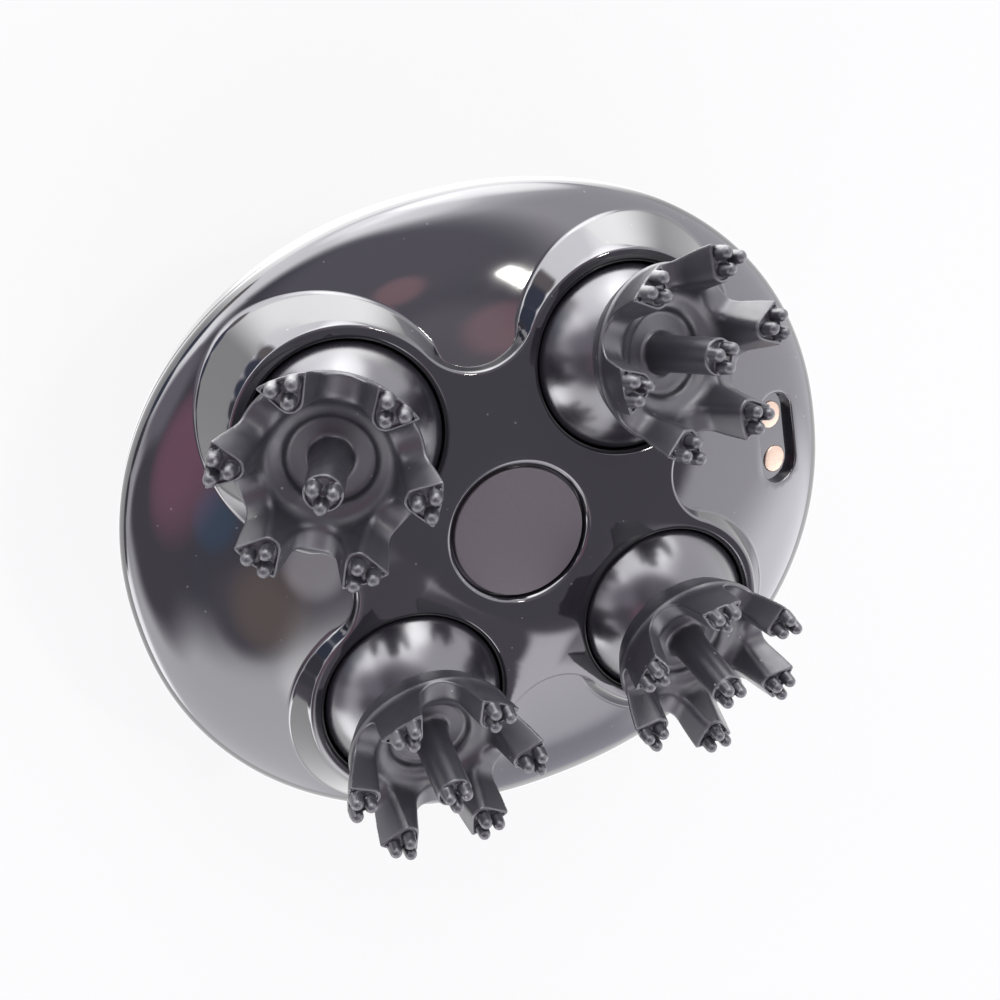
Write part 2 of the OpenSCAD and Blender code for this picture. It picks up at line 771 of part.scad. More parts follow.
module reduction_gear() {
    drive_top = wheel_z + wheel_t - face_gap / 2;
    color("#dcd8cc") translate([0, reduction_y, 0]) difference() {
        rotate(reduction_turn) {
            translate([0, 0, motor_gear_z]) gear_body(motor_module, reduction_teeth, motor_gear_t);
            translate([0, 0, motor_gear_z]) gear_body(wheel_module, drive_teeth, drive_top - motor_gear_z);
        }
        translate([0, 0, motor_gear_z - 1]) cylinder(r = axle_r + run_gap, h = drive_top - motor_gear_z + 2);
    }
}

module motor() {
    z0 = gear_plate_bottom - motor_h;
    color("#a9acb2") translate([0, motor_y, 0]) difference() {
        union() {
            translate([0, 0, z0 + 1]) cylinder(r = motor_r, h = motor_h - 1);
            translate([0, 0, z0]) cylinder(r = motor_r - 1.5, h = 1 + eps);
            translate([0, 0, gear_plate_bottom - eps]) cylinder(r = motor_boss_r, h = motor_boss_h);
        }
        translate([0, 0, gear_plate_bottom - shaft_depth - 0.5])
            cylinder(r = motor_shaft_r + run_gap, h = shaft_depth + motor_boss_h + 1);
        for (x = [-1, 1]) translate([x * motor_screw_x, 0, gear_plate_bottom - motor_screw_reach])
            cylinder(r = small_screw_r + seat_gap, h = motor_screw_reach + 1);
    }
}

module motor_shaft() {
    color("#cfd2d6") translate([0, motor_y, gear_plate_bottom - shaft_depth])
        cylinder(r = motor_shaft_r, h = motor_gear_z + motor_gear_t - gear_plate_bottom + shaft_depth);
}

module motor_pinion() {
    color("#c8a45a") translate([0, motor_y, motor_gear_z]) difference() {
        rotate(pinion_turn) gear_body(motor_module, pinion_teeth, motor_gear_t);
        translate([0, 0, -1]) cylinder(r = motor_shaft_r, h = motor_gear_t + 2);
    }
}

module motor_screws() {
    color("#b8bbc0") for (x = [-1, 1]) translate([x * motor_screw_x, motor_y, gear_plate_top]) {
        cylinder(r = small_head_r, h = small_head_t);
        translate([0, 0, screw_spare - gear_plate_t - motor_screw_reach])
            cylinder(r = small_screw_r, h = gear_plate_t + motor_screw_reach - screw_spare + eps);
    }
}

// Head gear with its drive shaft and the leaning hub that carries the ball cap
module head_gear(i) {
    turn = mesh_turn(sun_teeth, sun_turn, HEAD_DIR[i], head_teeth);
    color("#d8d4c8") difference() {
        union() {
            at_head(i) {
                translate([0, 0, head_gear_z]) difference() {
                    rotate(turn) gear_body(head_module, head_teeth, head_gear_t);
                    translate([0, 0, -1]) ring_pocket(shaft_r + 2.5, head_gear_r - 3.3, pocket_depth + 1);
                }
                translate([0, 0, gear_plate_bottom])
                    cylinder(r = journal_r, h = head_gear_z - gear_plate_bottom + eps);
                translate([0, 0, head_gear_z]) cylinder(r = shaft_r, h = pivot_z - head_gear_z);
            }
            leaning(i) translate([0, 0, -hub_back]) cylinder(r = hub_r, h = hub_back + cap_h - ball_wall);
        }
        leaning(i) translate([0, 0, cap_h - ball_wall - spigot_depth])
            cylinder(r = spigot_r + seat_gap, h = spigot_depth + 1);
    }
}

// ---------- heads ----------

// Ball cap: a hemisphere shell with a flat top and a sleeve for the hub
module ball_cap(i) {
    inner = ball_r - ball_wall;
    plate_r = sqrt(ball_r * ball_r - cap_h * cap_h);
    sleeve_r = hub_r + seat_gap;
    bolt_r = spigot_r + 0.2;
    color("#101013") leaning(i) rotate_extrude() difference() {
        union() {
            difference() {
                intersection() {
                    circle(ball_r, $fn = 96);
                    square([ball_r + 1, cap_h]);
                }
                intersection() {
                    circle(inner, $fn = 96);
                    square([ball_r + 1, cap_h - ball_wall]);
                }
            }
            translate([sleeve_r, -sleeve_low]) square([sleeve_t, cap_h - ball_wall + sleeve_low + eps]);
            translate([0, cap_h - ball_wall]) square([plate_r - 0.2, ball_wall]);
        }
        translate([-1, -2]) square([bolt_r + 1, cap_h + 4]);
        translate([-eps, -2]) square([sleeve_r + eps, cap_h - ball_wall + 2]);
        translate([-2 * ball_r, -2 * ball_r]) square([2 * ball_r, 4 * ball_r]);
    }
}

// Hard core of a claw, with the spigot that clicks into the hub
module claw_core(i) {
    color("#2a2b30") leaning(i) {
        translate([0, 0, cap_h]) cylinder(r = core_r, h = core_t);
        translate([0, 0, cap_h - ball_wall - spigot_depth + spigot_end_gap])
            cylinder(r = spigot_r, h = ball_wall + spigot_depth - spigot_end_gap + eps);
    }
}

// Outline of a claw's wall: bead at the seat, flared outside, rounded inside and the floor with its well
function claw_profile() = concat(
    [[core_r + seat_gap, cap_h], [claw_base_r - bead_r, cap_h]],
    bend([claw_base_r, cap_h + 0.4], [claw_base_r + bead_r, cap_h + 1], [claw_base_r + 0.1, cap_h + 1.5], 3),
    bend([claw_base_r + 0.4, cap_h + 2], [claw_tip_r - 1.6, cap_h + 5.5], [claw_tip_r, finger_h], 6),
    [[finger_in_r, finger_h]],
    bend([wall_in_r + 0.2, floor_top + 1.8], [wall_in_r, floor_top], [wall_in_r - 1.8, floor_top], 4),
    bend([well_r + well_edge, floor_top], [well_r, floor_top], [well_r, floor_top - well_edge], 3),
    [
        [well_r, floor_top - well_depth], [0, floor_top - well_depth],
        [0, core_top], [core_r + seat_gap, core_top]
    ]
);

// Soft claw: a cup with six fingers, a middle post and three nubs on each tip
module claw(i) {
    color("#3b3b44") leaning(i) {
        difference() {
            rotate_extrude() polygon(claw_profile());
            for (k = [0 : fingers - 1]) rotate([0, 0, 360 * (k + 0.5) / fingers]) arch_cutter();
        }
        translate([0, 0, core_top]) cylinder(r1 = post_r + post_flare, r2 = post_r, h = post_h - core_top);
        for (k = [0 : fingers - 1]) rotate([0, 0, 360 * k / fingers])
            nubs(tip_ring, finger_h, finger_nub_ring);
        rotate([0, 0, post_nub_turn]) nubs(0, post_h, post_nub_ring);
    }
}

// Arch between two fingers, cut outward along X: a round foot and sides that open towards the tips
module arch_cutter() {
    mid_h = arch_low + arch_r;
    rise = finger_h - mid_h;
    half_w = arch_w / 2;
    splay = acos(arch_r / sqrt(half_w * half_w + rise * rise)) - atan(rise / half_w);
    over = half_w + tan(splay);
    translate([well_r, 0, mid_h]) rotate([90, 0, 90]) linear_extrude(claw_tip_r - well_r + 1) {
        circle(arch_r);
        polygon([
            [-arch_r * cos(splay), -arch_r * sin(splay)], [arch_r * cos(splay), -arch_r * sin(splay)],
            [over, rise + 1], [-over, rise + 1]
        ]);
    }
}

// Three nubs in a triangle, two outside and one inside; spread is their distance from the middle
module nubs(ring, z, spread) {
    for (a = [60, 180, 300]) translate([ring + spread * cos(a), spread * 1.12 * sin(a), z]) {
        translate([0, 0, nub_rise]) sphere(nub_r, $fn = 24);
        translate([0, 0, -nub_r / 4]) cylinder(r = nub_r * 0.75, h = nub_rise + nub_r / 4);
    }
}

// ---------- supply ----------

module battery() {
    color("#3f6fa8") translate([-battery_l / 2, battery_y, battery_z]) rotate([0, 90, 0]) {
        translate([0, 0, cell_cap_h]) cylinder(r = battery_r, h = battery_l - cell_cap_h);
        cylinder(r = cell_cap_r, h = cell_cap_h + eps);
    }
}

module battery_holder() {
    w = 2 * (battery_r + battery_wall);
    color("#34363b") difference() {
        translate([-holder_l / 2, battery_y - w / 2, battery_z])
            cube([holder_l, w, gear_plate_bottom - battery_z]);
        translate([-holder_l / 2 - 1, battery_y, battery_z]) rotate([0, 90, 0])
            cylinder(r = battery_r + seat_gap, h = holder_l + 2);
    }
}

module main_board() {
    top = board_z + board_t;
    color("#1f5a3a") difference() {
        union() {
            translate([0, 0, board_z]) cylinder(r = board_r, h = board_t);
            for (chip = CHIPS) translate([chip[0], chip[1], top - eps]) cube([chip[2], chip[3], chip_h]);
        }
        for (a = BOARD_POST_ANGLES) rotate(a) translate([board_post_ring, 0, board_z - 1])
            cylinder(r = small_screw_r + screw_play, h = board_t + 3);
    }
}

module button_switch() {
    color("#8d9096") {
        translate([0, 0, board_z - switch_body_h / 2])
            cube([switch_l, switch_l, switch_body_h], center = true);
        translate([0, 0, switch_tip]) cylinder(r = stem_r, h = switch_tip_h + eps);
    }
}

module board_screws() {
    top = board_z + board_t;
    color("#b8bbc0") for (a = BOARD_POST_ANGLES) rotate(a) translate([board_post_ring, 0, top]) {
        cylinder(r = small_head_r, h = small_head_t);
        translate([0, 0, screw_spare - board_t - board_screw_reach])
            cylinder(r = small_screw_r, h = board_t + board_screw_reach - screw_spare + eps);
    }
}

dome_cover();
face_cover();
cover_gasket();
light_ring();
power_button();
centre_disc();
charge_socket();
charge_contacts();
charge_magnet();
gear_plate();
bearing_plate();
plate_screws();
chassis_screws();
centre_axle();
reduction_axle();
centre_gear();
reduction_gear();
motor();
motor_shaft();
motor_pinion();
motor_screws();
battery();
battery_holder();
main_board();
button_switch();
board_screws();
bush(0);  // bush_back_left
bush(1);  // bush_back_right
bush(2);  // bush_front_left
bush(3);  // bush_front_right
shaft_seal(0);  // seal_back_left
shaft_seal(1);  // seal_back_right
shaft_seal(2);  // seal_front_left
shaft_seal(3);  // seal_front_right
head_gear(0);  // gear_back_left
head_gear(1);  // gear_back_right
head_gear(2);  // gear_front_left
head_gear(3);  // gear_front_right
ball_cap(0);  // cap_back_left
ball_cap(1);  // cap_back_right
ball_cap(2);  // cap_front_left
ball_cap(3);  // cap_front_right
claw_core(0);  // core_back_left
claw_core(1);  // core_back_right
claw_core(2);  // core_front_left
claw_core(3);  // core_front_right
claw(0);  // claw_back_left
claw(1);  // claw_back_right
claw(2);  // claw_front_left
claw(3);  // claw_front_right
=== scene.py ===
"""Looks of the electric scalp massager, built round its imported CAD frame.

Shapes are worked out in millimetres, in the frame that all tools share or in a head's own frame, and
become metres when their mesh is made.
"""
import json
import math

import bmesh
import bpy
import numpy as np
from mathutils import Matrix, Vector
from mathutils.geometry import delaunay_2d_cdt

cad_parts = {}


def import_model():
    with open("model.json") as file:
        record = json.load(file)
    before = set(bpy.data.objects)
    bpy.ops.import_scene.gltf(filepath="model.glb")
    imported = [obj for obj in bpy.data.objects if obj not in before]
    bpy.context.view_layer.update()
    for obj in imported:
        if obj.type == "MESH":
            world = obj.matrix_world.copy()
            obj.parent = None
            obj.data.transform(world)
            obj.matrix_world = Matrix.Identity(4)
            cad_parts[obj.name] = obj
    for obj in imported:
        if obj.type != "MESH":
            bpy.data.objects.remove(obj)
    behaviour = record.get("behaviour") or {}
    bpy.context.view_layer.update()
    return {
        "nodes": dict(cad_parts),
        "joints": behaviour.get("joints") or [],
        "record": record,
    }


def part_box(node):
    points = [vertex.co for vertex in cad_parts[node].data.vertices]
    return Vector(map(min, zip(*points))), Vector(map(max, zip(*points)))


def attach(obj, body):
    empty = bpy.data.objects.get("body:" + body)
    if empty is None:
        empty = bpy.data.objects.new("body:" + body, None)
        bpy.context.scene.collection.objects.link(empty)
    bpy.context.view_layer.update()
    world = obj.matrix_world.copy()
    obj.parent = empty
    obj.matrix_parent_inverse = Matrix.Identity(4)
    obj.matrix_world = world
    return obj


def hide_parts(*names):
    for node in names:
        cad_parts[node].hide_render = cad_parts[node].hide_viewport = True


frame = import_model()

MM = 0.001
TURN = 2 * math.pi

# ---------- sizes, from the frame and from the part's own driving dimensions, in mm ----------


def node_box(node):
    """The lowest and the highest corner of a CAD node."""
    low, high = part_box(node)
    return np.array(low) / MM, np.array(high) / MM


FACE_LOW, FACE_HIGH = node_box("face_cover")
HALF_X = FACE_HIGH[0]
HALF_Y = FACE_HIGH[1]
FACE_Z = FACE_HIGH[2]
SEAM_Z = FACE_LOW[2]
DOME_TOP = node_box("dome_cover")[1][2]

# The body: a superellipse at its widest line, with a skirt above it and a dome below.
GIRTH_Z = FACE_Z - 9.5
SKIRT_RISE = 9.1
DOME_DEPTH = GIRTH_Z + 2.5
OUTLINE_POWER = 2.13
WALL = 2.2
# The rounding of an edge at the seam: how far in, and how far from the edge's own plane.
EDGE_ROUND = ((0, 0.25), (0.07, 0.07), (0.25, 0))

# The heads: their drive joints, and in degrees their lean, the way each one leans and each claw's turn.
HEAD_JOINTS = {
    j["child"]: np.array(j["pos_m"]) / MM for j in frame["joints"] if j["child"].startswith("head_")
}
HEADS = ("back_left", "back_right", "front_left", "front_right")
HEAD_OFF = abs(HEAD_JOINTS["head_back_right"][0])
PIVOT_Z = HEAD_JOINTS["head_back_right"][2]
LEAN = 16.2
LEAN_TO = {"back_left": 185, "back_right": 15, "front_left": 270, "front_right": 279}
FINGER_TURN = {"back_left": -23, "back_right": 2, "front_left": -10, "front_right": -31}

# The flat face: its openings with their lips, and its edge of four lobes and the waists between them.
HOLE_R = 14.45
HOLE_FLARE = 0.5
LIP_R = 0.8
FACE_T = 2.4
LOBE_R = 16.15
WAIST = 26
# The collars fall from the face's edge, steeper at the waists, and meet the skirt in a small rounding.
COLLAR_FALL = math.atan(1 / 0.776)
WAIST_FALL = math.radians(78)
WAIST_EASE = 0.22
CREST_R = 0.6
COLLAR_FOOT_R = 0.35
COLLAR_FARTHEST = 7.0
# The skirt's mesh runs in rows to a line just short of the widest one, with a patch round the socket.
SKIRT_ROWS = 14
SKIRT_SHARE = 0.975
PATCH_HALF = math.radians(21)

# The middle plate and its recess.
DISC_R = 10.45
DISC_T = 1.2
DISC_DROP = 0.4
DISC_EDGE_R = 0.25
RECESS_R = 10.9
RECESS_DEPTH = 1.6
RIM_R = 0.9

# The ball caps: a ball inside the opening, a bend at it, and an arc from there to the leaning flat top.
BALL_R = math.hypot(HOLE_R - 0.6, 5.6)
BALL_FOOT_H = -2.0
BALL_RIM_R = HOLE_R - 0.4
BALL_RIM_H = FACE_Z - PIVOT_Z - 0.8
BALL_RIM_TILT = math.radians(58)
BALL_BEND_R = 0.4
CAP_H = 10.5
CAP_TOP_R = 10.7
CAP_BORE_R = 7.0
CAP_WALL = 1.5

# ---------- meshes ----------


# A face thinner than this, where two ways of dividing one edge meet, is taken out.
SLIVER = 0.02


def closed_mesh(name, points, faces):
    """A mesh of points in mm, without its slivers."""
    data = bpy.data.meshes.new(name)
    data.from_pydata((np.array(points) * MM).tolist(), [], faces)
    work = bmesh.new()
    work.from_mesh(data)
    bmesh.ops.dissolve_degenerate(work, dist=SLIVER * MM, edges=work.edges)
    work.to_mesh(data)
    work.free()
    data.update()
    return data


class Skin:
    """A mesh under construction, in which a point given twice is one vertex."""

    def __init__(self):
        self.index = {}
        self.points = []
        self.faces = []

    def vertex(self, point):
        """The number of a point, where points that agree to a ten-thousandth of a millimetre are one."""
        key = tuple(int(round(c * 1e4)) for c in point)
        if key not in self.index:
            self.index[key] = len(self.points)
            self.points.append(tuple(float(c) for c in point))
        return self.index[key]

    def face(self, corners):
        """A face without the corners that fall together, and none where fewer than three are left."""
        kept = [c for i, c in enumerate(corners) if c != corners[i - 1]]
        if len(set(kept)) > 2:
            self.faces.append(kept)

    def bridge(self, rows, closed=True):
        """Quads between rows of points that run anticlockwise, from the innermost row out."""
        ids = [[self.vertex(p) for p in row] for row in rows]
        for inner, outer in zip(ids, ids[1:]):
            n = len(inner)
            for i in range(n if closed else n - 1):
                k = (i + 1) % n
                self.face([inner[i], outer[i], outer[k], inner[k]])

    def wrap(self, rows):
        """Quads round a closed wall of rows that run anticlockwise, from the foot of its outside up."""
        ids = [[self.vertex(p) for p in row] for row in rows]
        for low, high in zip(ids, ids[1:] + ids[:1]):
            for i in range(len(low)):
                k = (i + 1) % len(low)
                self.face([low[i], low[k], high[k], high[i]])

    def cap(self, row):
        self.face([self.vertex(p) for p in row])

    def fill(self, outer, holes=(), extra=(), flip=False):
        """Triangles between an outer loop and its holes, all points in 3-D, with more points inside."""
        loops = [outer, *holes]
        points = [tuple(p) for loop in loops for p in loop] + [tuple(p) for p in extra]
        edges = []
        start = 0
        for loop in loops:
            n = len(loop)
            edges += [(start + i, start + (i + 1) % n) for i in range(n)]
            start += n
        flat = [Vector((p[0], p[1])) for p in points]
        out = delaunay_2d_cdt(flat, edges, [], 0, 1e-7)
        at, triangles, source = out[0], np.array(out[2]), out[3]
        middle = np.array([[v[0], v[1]] for v in at])[triangles].mean(axis=1)
        keep = inside(middle, outer)
        for hole in holes:
            keep &= ~inside(middle, hole)
        for triangle in triangles[keep]:
            ids = [self.vertex(points[source[i][0]]) for i in triangle]
            self.face(ids[::-1] if flip else ids)

    def mesh(self, name):
        return closed_mesh(name, self.points, self.faces)


def inside(points, loop):
    """Which of these points lie inside a closed loop, seen from above."""
    loop = np.array(loop)[:, :2]
    x, y = points[:, 0], points[:, 1]
    found = np.zeros(len(points), bool)
    for a, b in zip(loop, np.roll(loop, -1, axis=0)):
        crosses = (a[1] > y) != (b[1] > y)
        with np.errstate(divide="ignore", invalid="ignore"):
            found ^= crosses & (x < (b[0] - a[0]) * (y - a[1]) / (b[1] - a[1]) + a[0])
    return found


def piece(name, mesh, body, slot, node, sharp=35):
    """Makes an object of a mesh, smooth but for sharp edges, that rides a body and replaces a CAD node."""
    obj = bpy.data.objects.new(name, mesh)
    bpy.context.scene.collection.objects.link(obj)
    mesh.shade_smooth()
    if sharp:
        mesh.set_sharp_from_angle(angle=math.radians(sharp))
    mesh.materials.append(MATERIALS[slot])
    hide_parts(node)
    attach(obj, body)


def circle(x, y, r, z, count=160):
    a = np.arange(count) * TURN / count
    return np.c_[x + r * np.cos(a), y + r * np.sin(a), np.full(count, z)]


def arc(r, start, end, count):
    """Points (across, up) of an arc round the origin, with angles in degrees."""
    a = np.radians(np.linspace(start, end, count))
    return np.c_[r * np.cos(a), r * np.sin(a)]


def lathe(profile, segments=128):
    """A skin turned from a closed outline of (radius, height) points, anticlockwise."""
    skin = Skin()
    skin.wrap([circle(0, 0, r, h, segments) for r, h in profile])
    return skin


# ---------- the body's surface ----------


def ring_share(x, y, inset=0.0):
    """0 in the middle of the body's outline and 1 on it."""
    along_x = (np.abs(x) / (HALF_X - inset)) ** OUTLINE_POWER
    along_y = (np.abs(y) / (HALF_Y - inset)) ** OUTLINE_POWER
    return (along_x + along_y) ** (1 / OUTLINE_POWER)


def skirt_height(x, y, inset=0.0):
    """Height of the skirt's outside, or of a surface inside it."""
    share = np.minimum(ring_share(x, y, inset), 1)
    return GIRTH_Z + (SKIRT_RISE - inset) * np.sqrt(1 - share**2)


def edge_fall(d, fall):
    """How far the face has fallen at a distance d outside its edge: a rounded crest, then a slope."""
    turn = CREST_R * np.sin(fall)
    crest = CREST_R - np.sqrt(np.maximum(CREST_R**2 - np.clip(d, 0, turn) ** 2, 0))
    return crest + np.maximum(d - turn, 0) * np.tan(fall)


def skin_height(x, y, d, fall):
    """Height of the face cover's outside, with a small rounding where a collar meets the skirt."""
    collar = FACE_Z - edge_fall(d, fall)
    skirt = skirt_height(x, y)
    fillet = np.maximum(COLLAR_FOOT_R - np.abs(collar - skirt), 0) ** 2 / (4 * COLLAR_FOOT_R)
    return np.maximum(collar, skirt) + fillet


def face_edge(lobe_points=96, hollow_points=48):
    """The flat face's edge, anticlockwise from -X: its points, directions outwards and collars' slopes."""
    # between two lobes runs a hollow arc that touches both, with its deepest point at the waist
    hollow_r = (HEAD_OFF**2 + (WAIST - HEAD_OFF) ** 2 - LOBE_R**2) / (2 * (LOBE_R - WAIST + HEAD_OFF))
    middle = WAIST + hollow_r
    start = math.atan2(-HEAD_OFF, middle - HEAD_OFF)
    # the collar grows steeper from a hollow's ends to its middle
    share = np.arange(hollow_points) / hollow_points
    near_end = np.clip(np.minimum(share, 1 - share) / WAIST_EASE, 0, 1)
    steep = np.r_[np.zeros(lobe_points), near_end * near_end * (3 - 2 * near_end)]
    points, outward = [], []
    for quarter in range(4):
        turn = math.radians(180 + 90 * quarter)
        c, s = math.cos(turn), math.sin(turn)
        spin = np.array([[c, s], [-s, c]])
        lobe = np.linspace(start, math.pi / 2 - start, lobe_points, endpoint=False)
        lobe_dir = np.c_[np.cos(lobe), np.sin(lobe)]
        hollow = np.linspace(math.pi / 2 - start, math.pi / 2 + start, hollow_points, endpoint=False)
        hollow_dir = np.c_[np.cos(hollow), np.sin(hollow)]
        points.append((np.array([HEAD_OFF, HEAD_OFF]) + LOBE_R * lobe_dir) @ spin)
        outward.append(lobe_dir @ spin)
        points.append((np.array([0, middle]) - hollow_r * hollow_dir) @ spin)
        outward.append(hollow_dir @ spin)
    return np.vstack(points), np.vstack(outward), COLLAR_FALL + (WAIST_FALL - COLLAR_FALL) * np.tile(steep, 4)


def foot_distance(edge, outward, fall):
    """How far outside the edge each collar meets the skirt."""
    low, high = np.zeros(len(edge)), np.full(len(edge), COLLAR_FARTHEST)
    for _ in range(30):
        mid = (low + high) / 2
        p = edge + outward * mid[:, None]
        above = FACE_Z - edge_fall(mid, fall) > skirt_height(p[:, 0], p[:, 1])
        low, high = np.where(above, mid, low), np.where(above, high, mid)
    return low


# ---------- charging socket, a slot with round ends across the skirt, and its two contacts ----------

SOCKET_X = HALF_X - 10.2
SOCKET_L = 15.8
SOCKET_W = 7.4
SOCKET_DEPTH = 1.5
SOCKET_EDGE = 0.35
CONTACT_R = 2.3
CONTACT_EDGE_R = 0.2
CONTACT_PITCH = 8


def socket_frame():
    """Origin on the skirt, and directions along its slope, along Y and out of the surface."""
    share = SOCKET_X / HALF_X
    fall = SKIRT_RISE * share / (HALF_X * math.sqrt(1 - share**2))
    out = np.array([fall, 0, 1]) / math.hypot(fall, 1)
    along = np.array([out[2], 0, -out[0]])
    origin = np.array([SOCKET_X, 0, skirt_height(SOCKET_X, 0.0)])
    return origin, along, np.array([0, 1, 0]), out


def stadium(length, width, grow, count=24):
    """A slot's outline with round ends, anticlockwise, grown by a distance."""
    r = width / 2
    reach = (length - width) / 2
    a = np.linspace(0, math.pi, count)
    top = np.c_[(r + grow) * np.cos(a), reach + (r + grow) * np.sin(a)]
    sides = np.linspace(reach, -reach, 12)[1:-1]
    left = np.c_[np.full(len(sides), -r - grow), sides]
    return np.vstack([top, left, -top, -left])


def socket_row(grow, depth):
    """A row of the socket's edge or wall: grown outwards, and this deep below the skirt's surface."""
    origin, along, across, out = socket_frame()
    flat = stadium(SOCKET_L, SOCKET_W, grow)
    points = origin + flat[:, :1] * along + flat[:, 1:] * across
    for _ in range(6):
        miss = skirt_height(points[:, 0], points[:, 1]) - points[:, 2]
        points = points + (miss * out[2])[:, None] * out
    return points - depth * out


def socket_floor_row():
    """The row round the socket's flat floor."""
    origin, along, across, out = socket_frame()
    flat = stadium(SOCKET_L, SOCKET_W, 0)
    return origin + flat[:, :1] * along + flat[:, 1:] * across - SOCKET_DEPTH * out


# ---------- covers ----------


def face_cover():
    """The face cover: face, collars, lips, recess, socket and skirt outside, and a plain inside."""
    skin = Skin()
    edge, outward, fall = face_edge()
    foot = foot_distance(edge, outward, fall)
    turn = CREST_R * np.sin(fall)

    def row(d):
        p = edge + outward * np.reshape(d, (-1, 1))
        return np.c_[p, skin_height(p[:, 0], p[:, 1], d, fall)]

    # rows over a collar: its crest, its slope, the rounding at its foot and a strip of the skirt
    reach = np.minimum(0.5, (foot - turn) * 0.9)
    last = foot_distance(edge, outward, COLLAR_FALL) + 1.2
    distances = [turn * k / 5 for k in range(6)]
    distances += [turn + (foot - reach - turn) * k / 5 for k in range(1, 6)]
    distances += [foot + reach * k for k in (-0.7, -0.4, -0.2, 0, 0.2, 0.4, 0.7, 1)]
    distances += [foot + reach + (last - foot - reach) * k / 3 for k in (1, 2, 3)]
    rows = [row(d) for d in distances]
    skin.bridge(rows)

    # skirt, along rays from the collars' feet to the rim, and triangles in the patch round the socket
    start = rows[-1][:, :2]
    to_rim = SKIRT_SHARE / ring_share(start[:, 0], start[:, 1])
    skirt = [rows[-1]]
    for k in range(1, SKIRT_ROWS + 1):
        p = start * (1 + (k / SKIRT_ROWS) * (to_rim - 1))[:, None]
        skirt.append(np.c_[p, skirt_height(p[:, 0], p[:, 1])])
    angle = np.arctan2(start[:, 1], start[:, 0])
    patch = np.where(np.abs(angle) < PATCH_HALF)[0]
    first, final = patch[0], patch[-1]
    skin.bridge([np.roll(r, -final, axis=0)[: len(r) - (final - first) + 1] for r in skirt], closed=False)
    outer = [r[first] for r in skirt] + [p for p in skirt[-1][first + 1 : final]]
    outer += [r[final] for r in reversed(skirt)] + [p for p in skirt[0][final - 1 : first : -1]]
    rim_row = socket_row(SOCKET_EDGE, 0)
    inner_points = np.vstack([r[first + 1 : final] for r in skirt[1:-1]])
    clear = socket_row(SOCKET_EDGE + 0.5, 0)
    inner_points = inner_points[~inside(inner_points, clear)]
    skin.fill(outer, [rim_row], inner_points)
    edges = arc(SOCKET_EDGE, 90, 0, 5)
    rows = [socket_row(SOCKET_EDGE - x, SOCKET_EDGE - y) for x, y in edges]
    rows.append(socket_floor_row())
    skin.bridge(rows[::-1])
    skin.cap(rows[-1])

    # rim, seam edge and the inside
    rim = skirt[-1]
    unit = rim[:, :2] / ring_share(rim[:, 0], rim[:, 1])[:, None]
    rows = [rim]
    for v in np.radians([11, 9, 7, 5, 3, 1.5, 0]):
        rows.append(np.c_[unit * math.cos(v), np.full(len(unit), GIRTH_Z + SKIRT_RISE * math.sin(v))])
    for inset, rise in (*EDGE_ROUND, (WALL, 0)):
        z = SEAM_Z + rise
        share = math.cos((z - GIRTH_Z) / DOME_DEPTH)
        size = np.hypot(unit[:, 0], unit[:, 1])
        rows.append(np.c_[unit * (share - inset / size)[:, None], np.full(len(unit), z)])
    skin.bridge(rows)
    seat = rows[-1]
    inner_unit = unit * (1 - WALL / np.hypot(unit[:, 0], unit[:, 1]))[:, None]
    rows = [seat]
    for share in (1, 0.985, 0.96, 0.92):
        z = GIRTH_Z + (SKIRT_RISE - WALL) * math.sqrt(1 - share**2)
        rows.append(np.c_[inner_unit * share, np.full(len(unit), z)])
    skin.bridge(rows)
    ceiling = rows[-1]

    # plate with its four openings and the middle recess
    lip = arc(LIP_R, 180, 90, 9) + [HOLE_R + LIP_R, FACE_Z - LIP_R]
    recess = arc(RIM_R, 180, 90, 7) + [RECESS_R + RIM_R, FACE_Z - RIM_R]
    tops, bottoms = [], []
    for name in HEADS:
        x, y = HEAD_JOINTS["head_" + name][:2]
        tops.append(circle(x, y, *lip[-1]))
        low = circle(x, y, HOLE_R + HOLE_FLARE, 0)
        low[:, 2] = GIRTH_Z + (SKIRT_RISE - WALL) * np.sqrt(1 - ring_share(low[:, 0], low[:, 1], WALL) ** 2)
        skin.bridge([low, circle(x, y, HOLE_R, FACE_Z - FACE_T), *[circle(x, y, r, z) for r, z in lip]])
        bottoms.append(low)
    disc_top = circle(0, 0, *recess[-1])
    recess_floor = circle(0, 0, DISC_R * 0.9, FACE_Z - RECESS_DEPTH)
    recess_foot = circle(0, 0, RECESS_R, FACE_Z - RECESS_DEPTH)
    skin.bridge([recess_floor, recess_foot, *[circle(0, 0, r, z) for r, z in recess]])
    skin.cap(recess_floor)
    skin.fill(row(np.zeros(len(edge))), [*tops, disc_top])
    skin.fill(ceiling, bottoms, flip=True)
    return skin.mesh("face_cover_shell")


def body_outline(columns):
    """The body's outline at its widest line, anticlockwise."""
    t = np.arange(columns) * TURN / columns
    x = np.sign(np.cos(t)) * np.abs(np.cos(t)) ** (2 / OUTLINE_POWER)
    y = np.sign(np.sin(t)) * np.abs(np.sin(t)) ** (2 / OUTLINE_POWER)
    return np.c_[HALF_X * x, HALF_Y * y]


def inset_by(outline, distance):
    """An outline drawn in toward its middle by a distance."""
    return outline * (1 - distance / np.hypot(outline[:, 0], outline[:, 1]))[:, None]


# The crown: the light ring's seat, the button's hole in it, and the crown's thickness.
RING_OUT = 12.65
RING_SEAT = 1.4
CROWN_HOLE_R = 9.4
CROWN_T = 2.4
DOME_COLUMNS = 288
DOME_ROWS = 48
DOME_INNER_ROWS = 24


